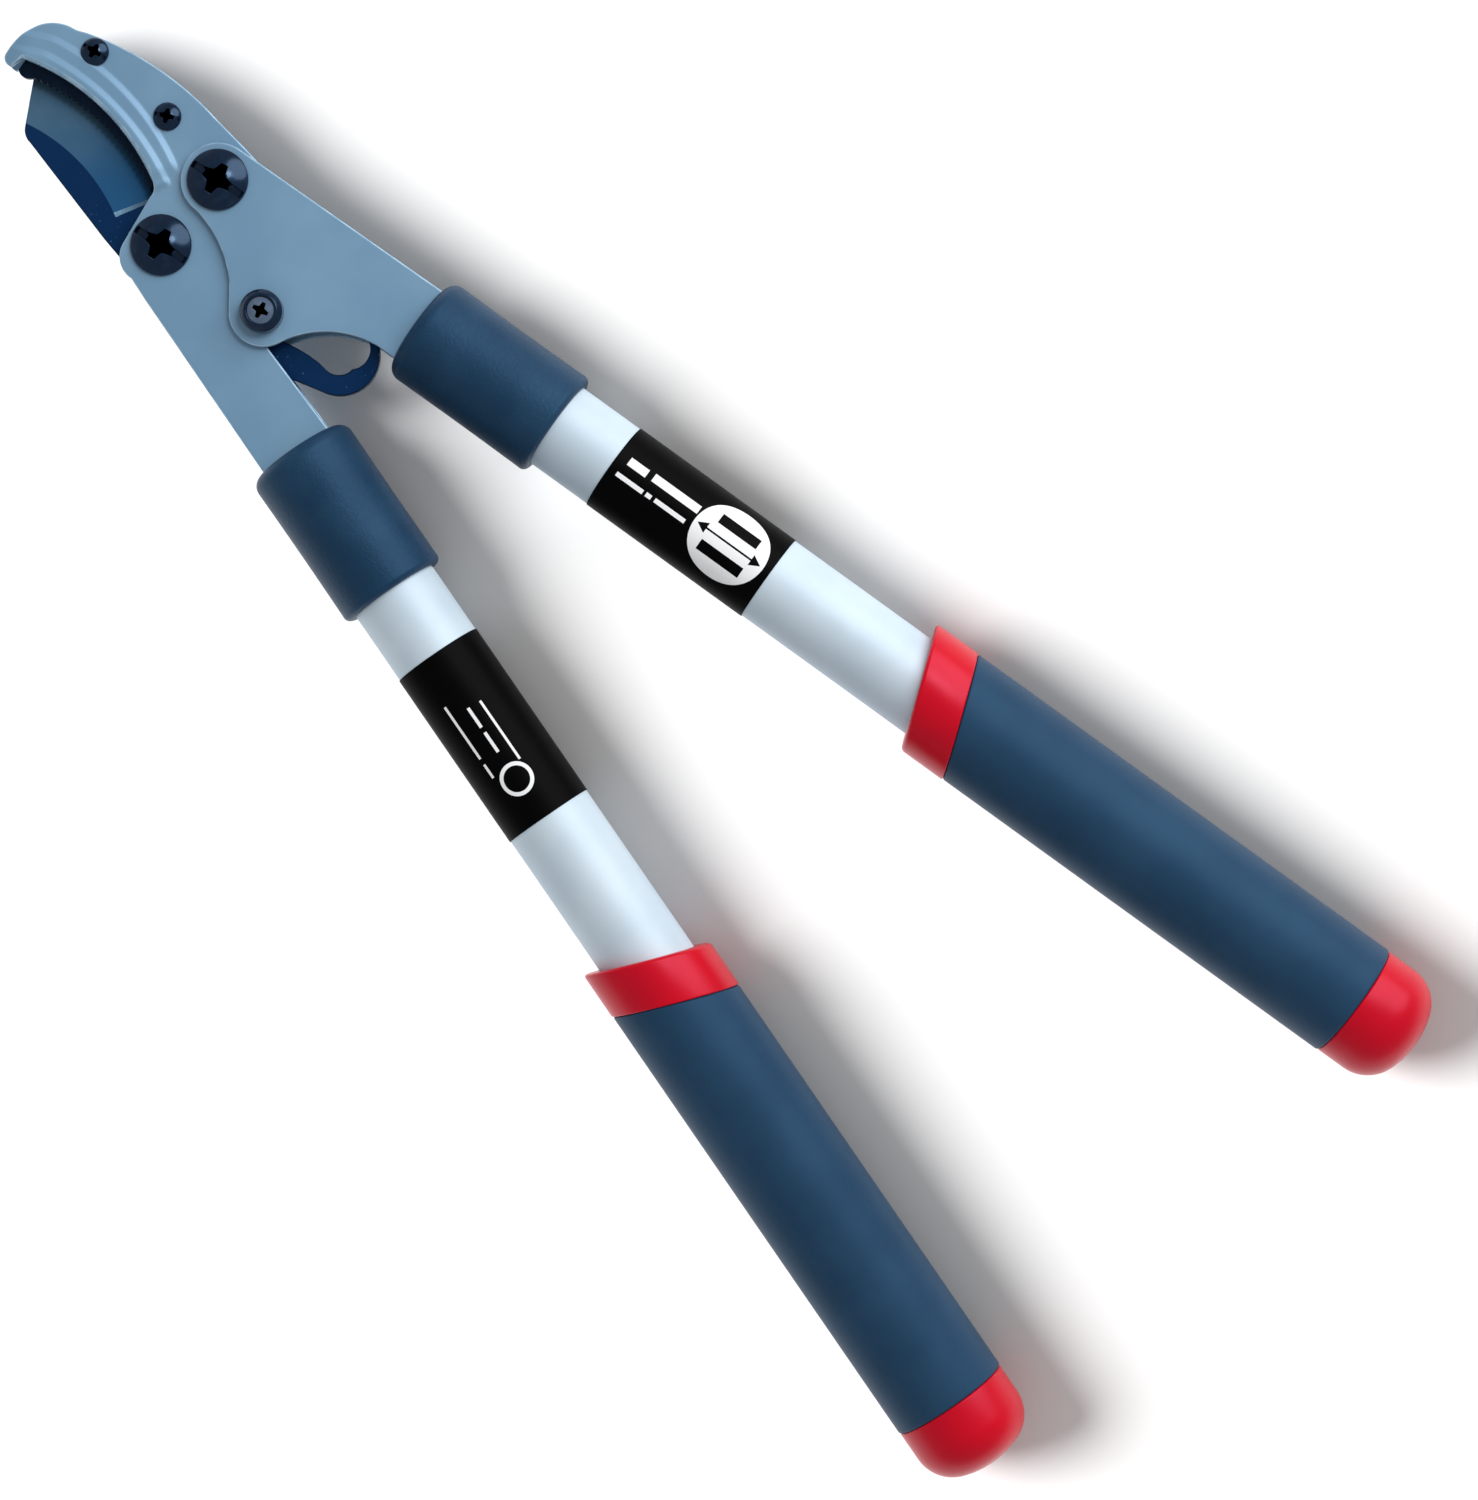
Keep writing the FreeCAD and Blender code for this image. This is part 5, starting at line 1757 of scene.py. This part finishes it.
@dataclass
class Studio:
    """Floor, soft lights and the camera above the tool."""

    eye: tuple[float, float, float] = (0.0218, -0.0642, 1.1622)
    aim: tuple[float, float, float] = (0.00535, -0.0446, 0.0168)
    roll: float = math.radians(45.644)
    lens: float = 100.86
    floor_size: float = 6.0
    sky: float = 0.445
    discs: tuple[tuple[str, float, float, tuple[float, float, float]], ...] = (
        ("key", 1.3, 15.5, (1.15, 0.02, 0.90)), ("glint", 0.35, 3.5, (0.62, 0.12, 1.25)))
    sun_power: float = 4.7
    sun_width: float = 0.60
    sun_side: tuple[float, float, float] = (-0.66, 0.75, 0.76)

    def build(self) -> None:
        """Builds everything."""
        self.lights(self.floor())
        self.camera()
        view = bpy.context.scene.view_settings
        view.view_transform = "Standard"
        view.look = "None"

    def floor(self) -> bpy.types.Object:
        """A pale floor: a flat square grid with a faintly mottled matt paint.

        Returns:
            The floor.
        """
        graph = Graph("pale_floor")
        mottle = graph.noise(6.0, 2.0)
        paint = graph.surface({"Base Color": graph.mix(mottle, (0.90, 0.90, 0.90), (0.92, 0.92, 0.92)),
                               "Roughness": 0.8 + 0.1 * mottle, "Specular IOR Level": 0.1})
        span = np.linspace(-self.floor_size / 2, self.floor_size / 2, 9)
        x, y = np.meshgrid(span, span)
        mesh = bpy.data.meshes.new("floor")
        index = np.arange(81).reshape(9, 9)
        quads = np.stack([index[:-1, :-1], index[:-1, 1:], index[1:, 1:], index[1:, :-1]], -1)
        spots = np.stack([x, y, np.full_like(x, -0.0002)], -1).reshape(-1, 3)
        mesh.from_pydata(spots, [], quads.reshape(-1, 4).tolist())
        mesh.materials.append(paint)
        floor = bpy.data.objects.new("floor", mesh)
        bpy.context.scene.collection.objects.link(floor)
        return floor

    def lamp(self, data: bpy.types.Light, place: tuple[float, float, float],
             floor: bpy.types.Object, reach: FloorLight) -> None:
        """Adds a light that faces the tool, and says whether it lights the floor or all the rest.

        Args:
            data: the light's data.
            place: where it stands, in metres.
            floor: the floor.
            reach: what it lights.
        """
        made = bpy.data.objects.new(data.name, data)
        made.location = place
        made.rotation_euler = (-Vector(place)).to_track_quat("-Z", "Y").to_euler()
        bpy.context.scene.collection.objects.link(made)
        lit = bpy.data.collections.new(data.name + "_reach")
        lit.objects.link(floor)
        made.light_linking.receiver_collection = lit
        lit.collection_objects[0].light_linking.link_state = reach.value

    def lights(self, floor: bpy.types.Object) -> None:
        """A soft key and a smaller glint towards +X, a low sun for the floor and a pale sky.

        Args:
            floor: the floor.
        """
        world = bpy.data.worlds.new("studio")
        bpy.context.scene.world = world
        world.use_nodes = True
        backdrop = world.node_tree.nodes["Background"]
        backdrop.inputs["Color"].default_value = (1.0, 0.99, 0.98, 1.0)
        backdrop.inputs["Strength"].default_value = self.sky
        for name, width, power, place in self.discs:
            disc = bpy.data.lights.new(name, "AREA")
            disc.shape = "DISK"
            disc.size = width
            disc.energy = power
            self.lamp(disc, place, floor, FloorLight.ALL_THE_REST)
        low_sun = bpy.data.lights.new("low_sun", "SUN")
        low_sun.angle = self.sun_width
        low_sun.energy = self.sun_power
        self.lamp(low_sun, self.sun_side, floor, FloorLight.ONLY)

    def camera(self) -> None:
        """The camera, level with nothing: it looks down, with up turned towards the hook's side."""
        data = bpy.data.cameras.new("camera")
        data.lens = self.lens
        data.clip_start = 0.05
        data.clip_end = 20.0
        made = bpy.data.objects.new("camera", data)
        back = (Vector(self.eye) - Vector(self.aim)).normalized()
        up = Vector((math.cos(self.roll), math.sin(self.roll), 0.0))
        right = up.cross(back).normalized()
        up = back.cross(right)
        made.matrix_world = (Matrix.Translation(self.eye)
                             @ Matrix((right, up, back)).transposed().to_4x4())
        bpy.context.scene.collection.objects.link(made)
        bpy.context.scene.camera = made


def corners(box: tuple[Vector, Vector]) -> list[list[float]]:
    """A box's two corners as plain lists."""
    return [list(corner) for corner in box]


def main() -> None:
    """Builds the tool piece by piece round the CAD model."""
    logging.basicConfig(level=logging.INFO, format="%(message)s")
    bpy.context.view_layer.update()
    Studio().build()
    finishes = Finishes()
    head = HeadFrame.read()
    HookHead(finishes, head).build()
    CuttingBlade(head).build()
    ArmPlates(finishes, head).build()
    for name in ("blade_pivot", "arm_pivot"):
        PivotSet(name, finishes, head).build()
    HookScrews(finishes, head).build()
    DrivePin(finishes, head).build()
    for side in Side:
        Handle(side, finishes).build()
    HiddenHardware(finishes).dress()


if __name__ == "__main__":
    main()
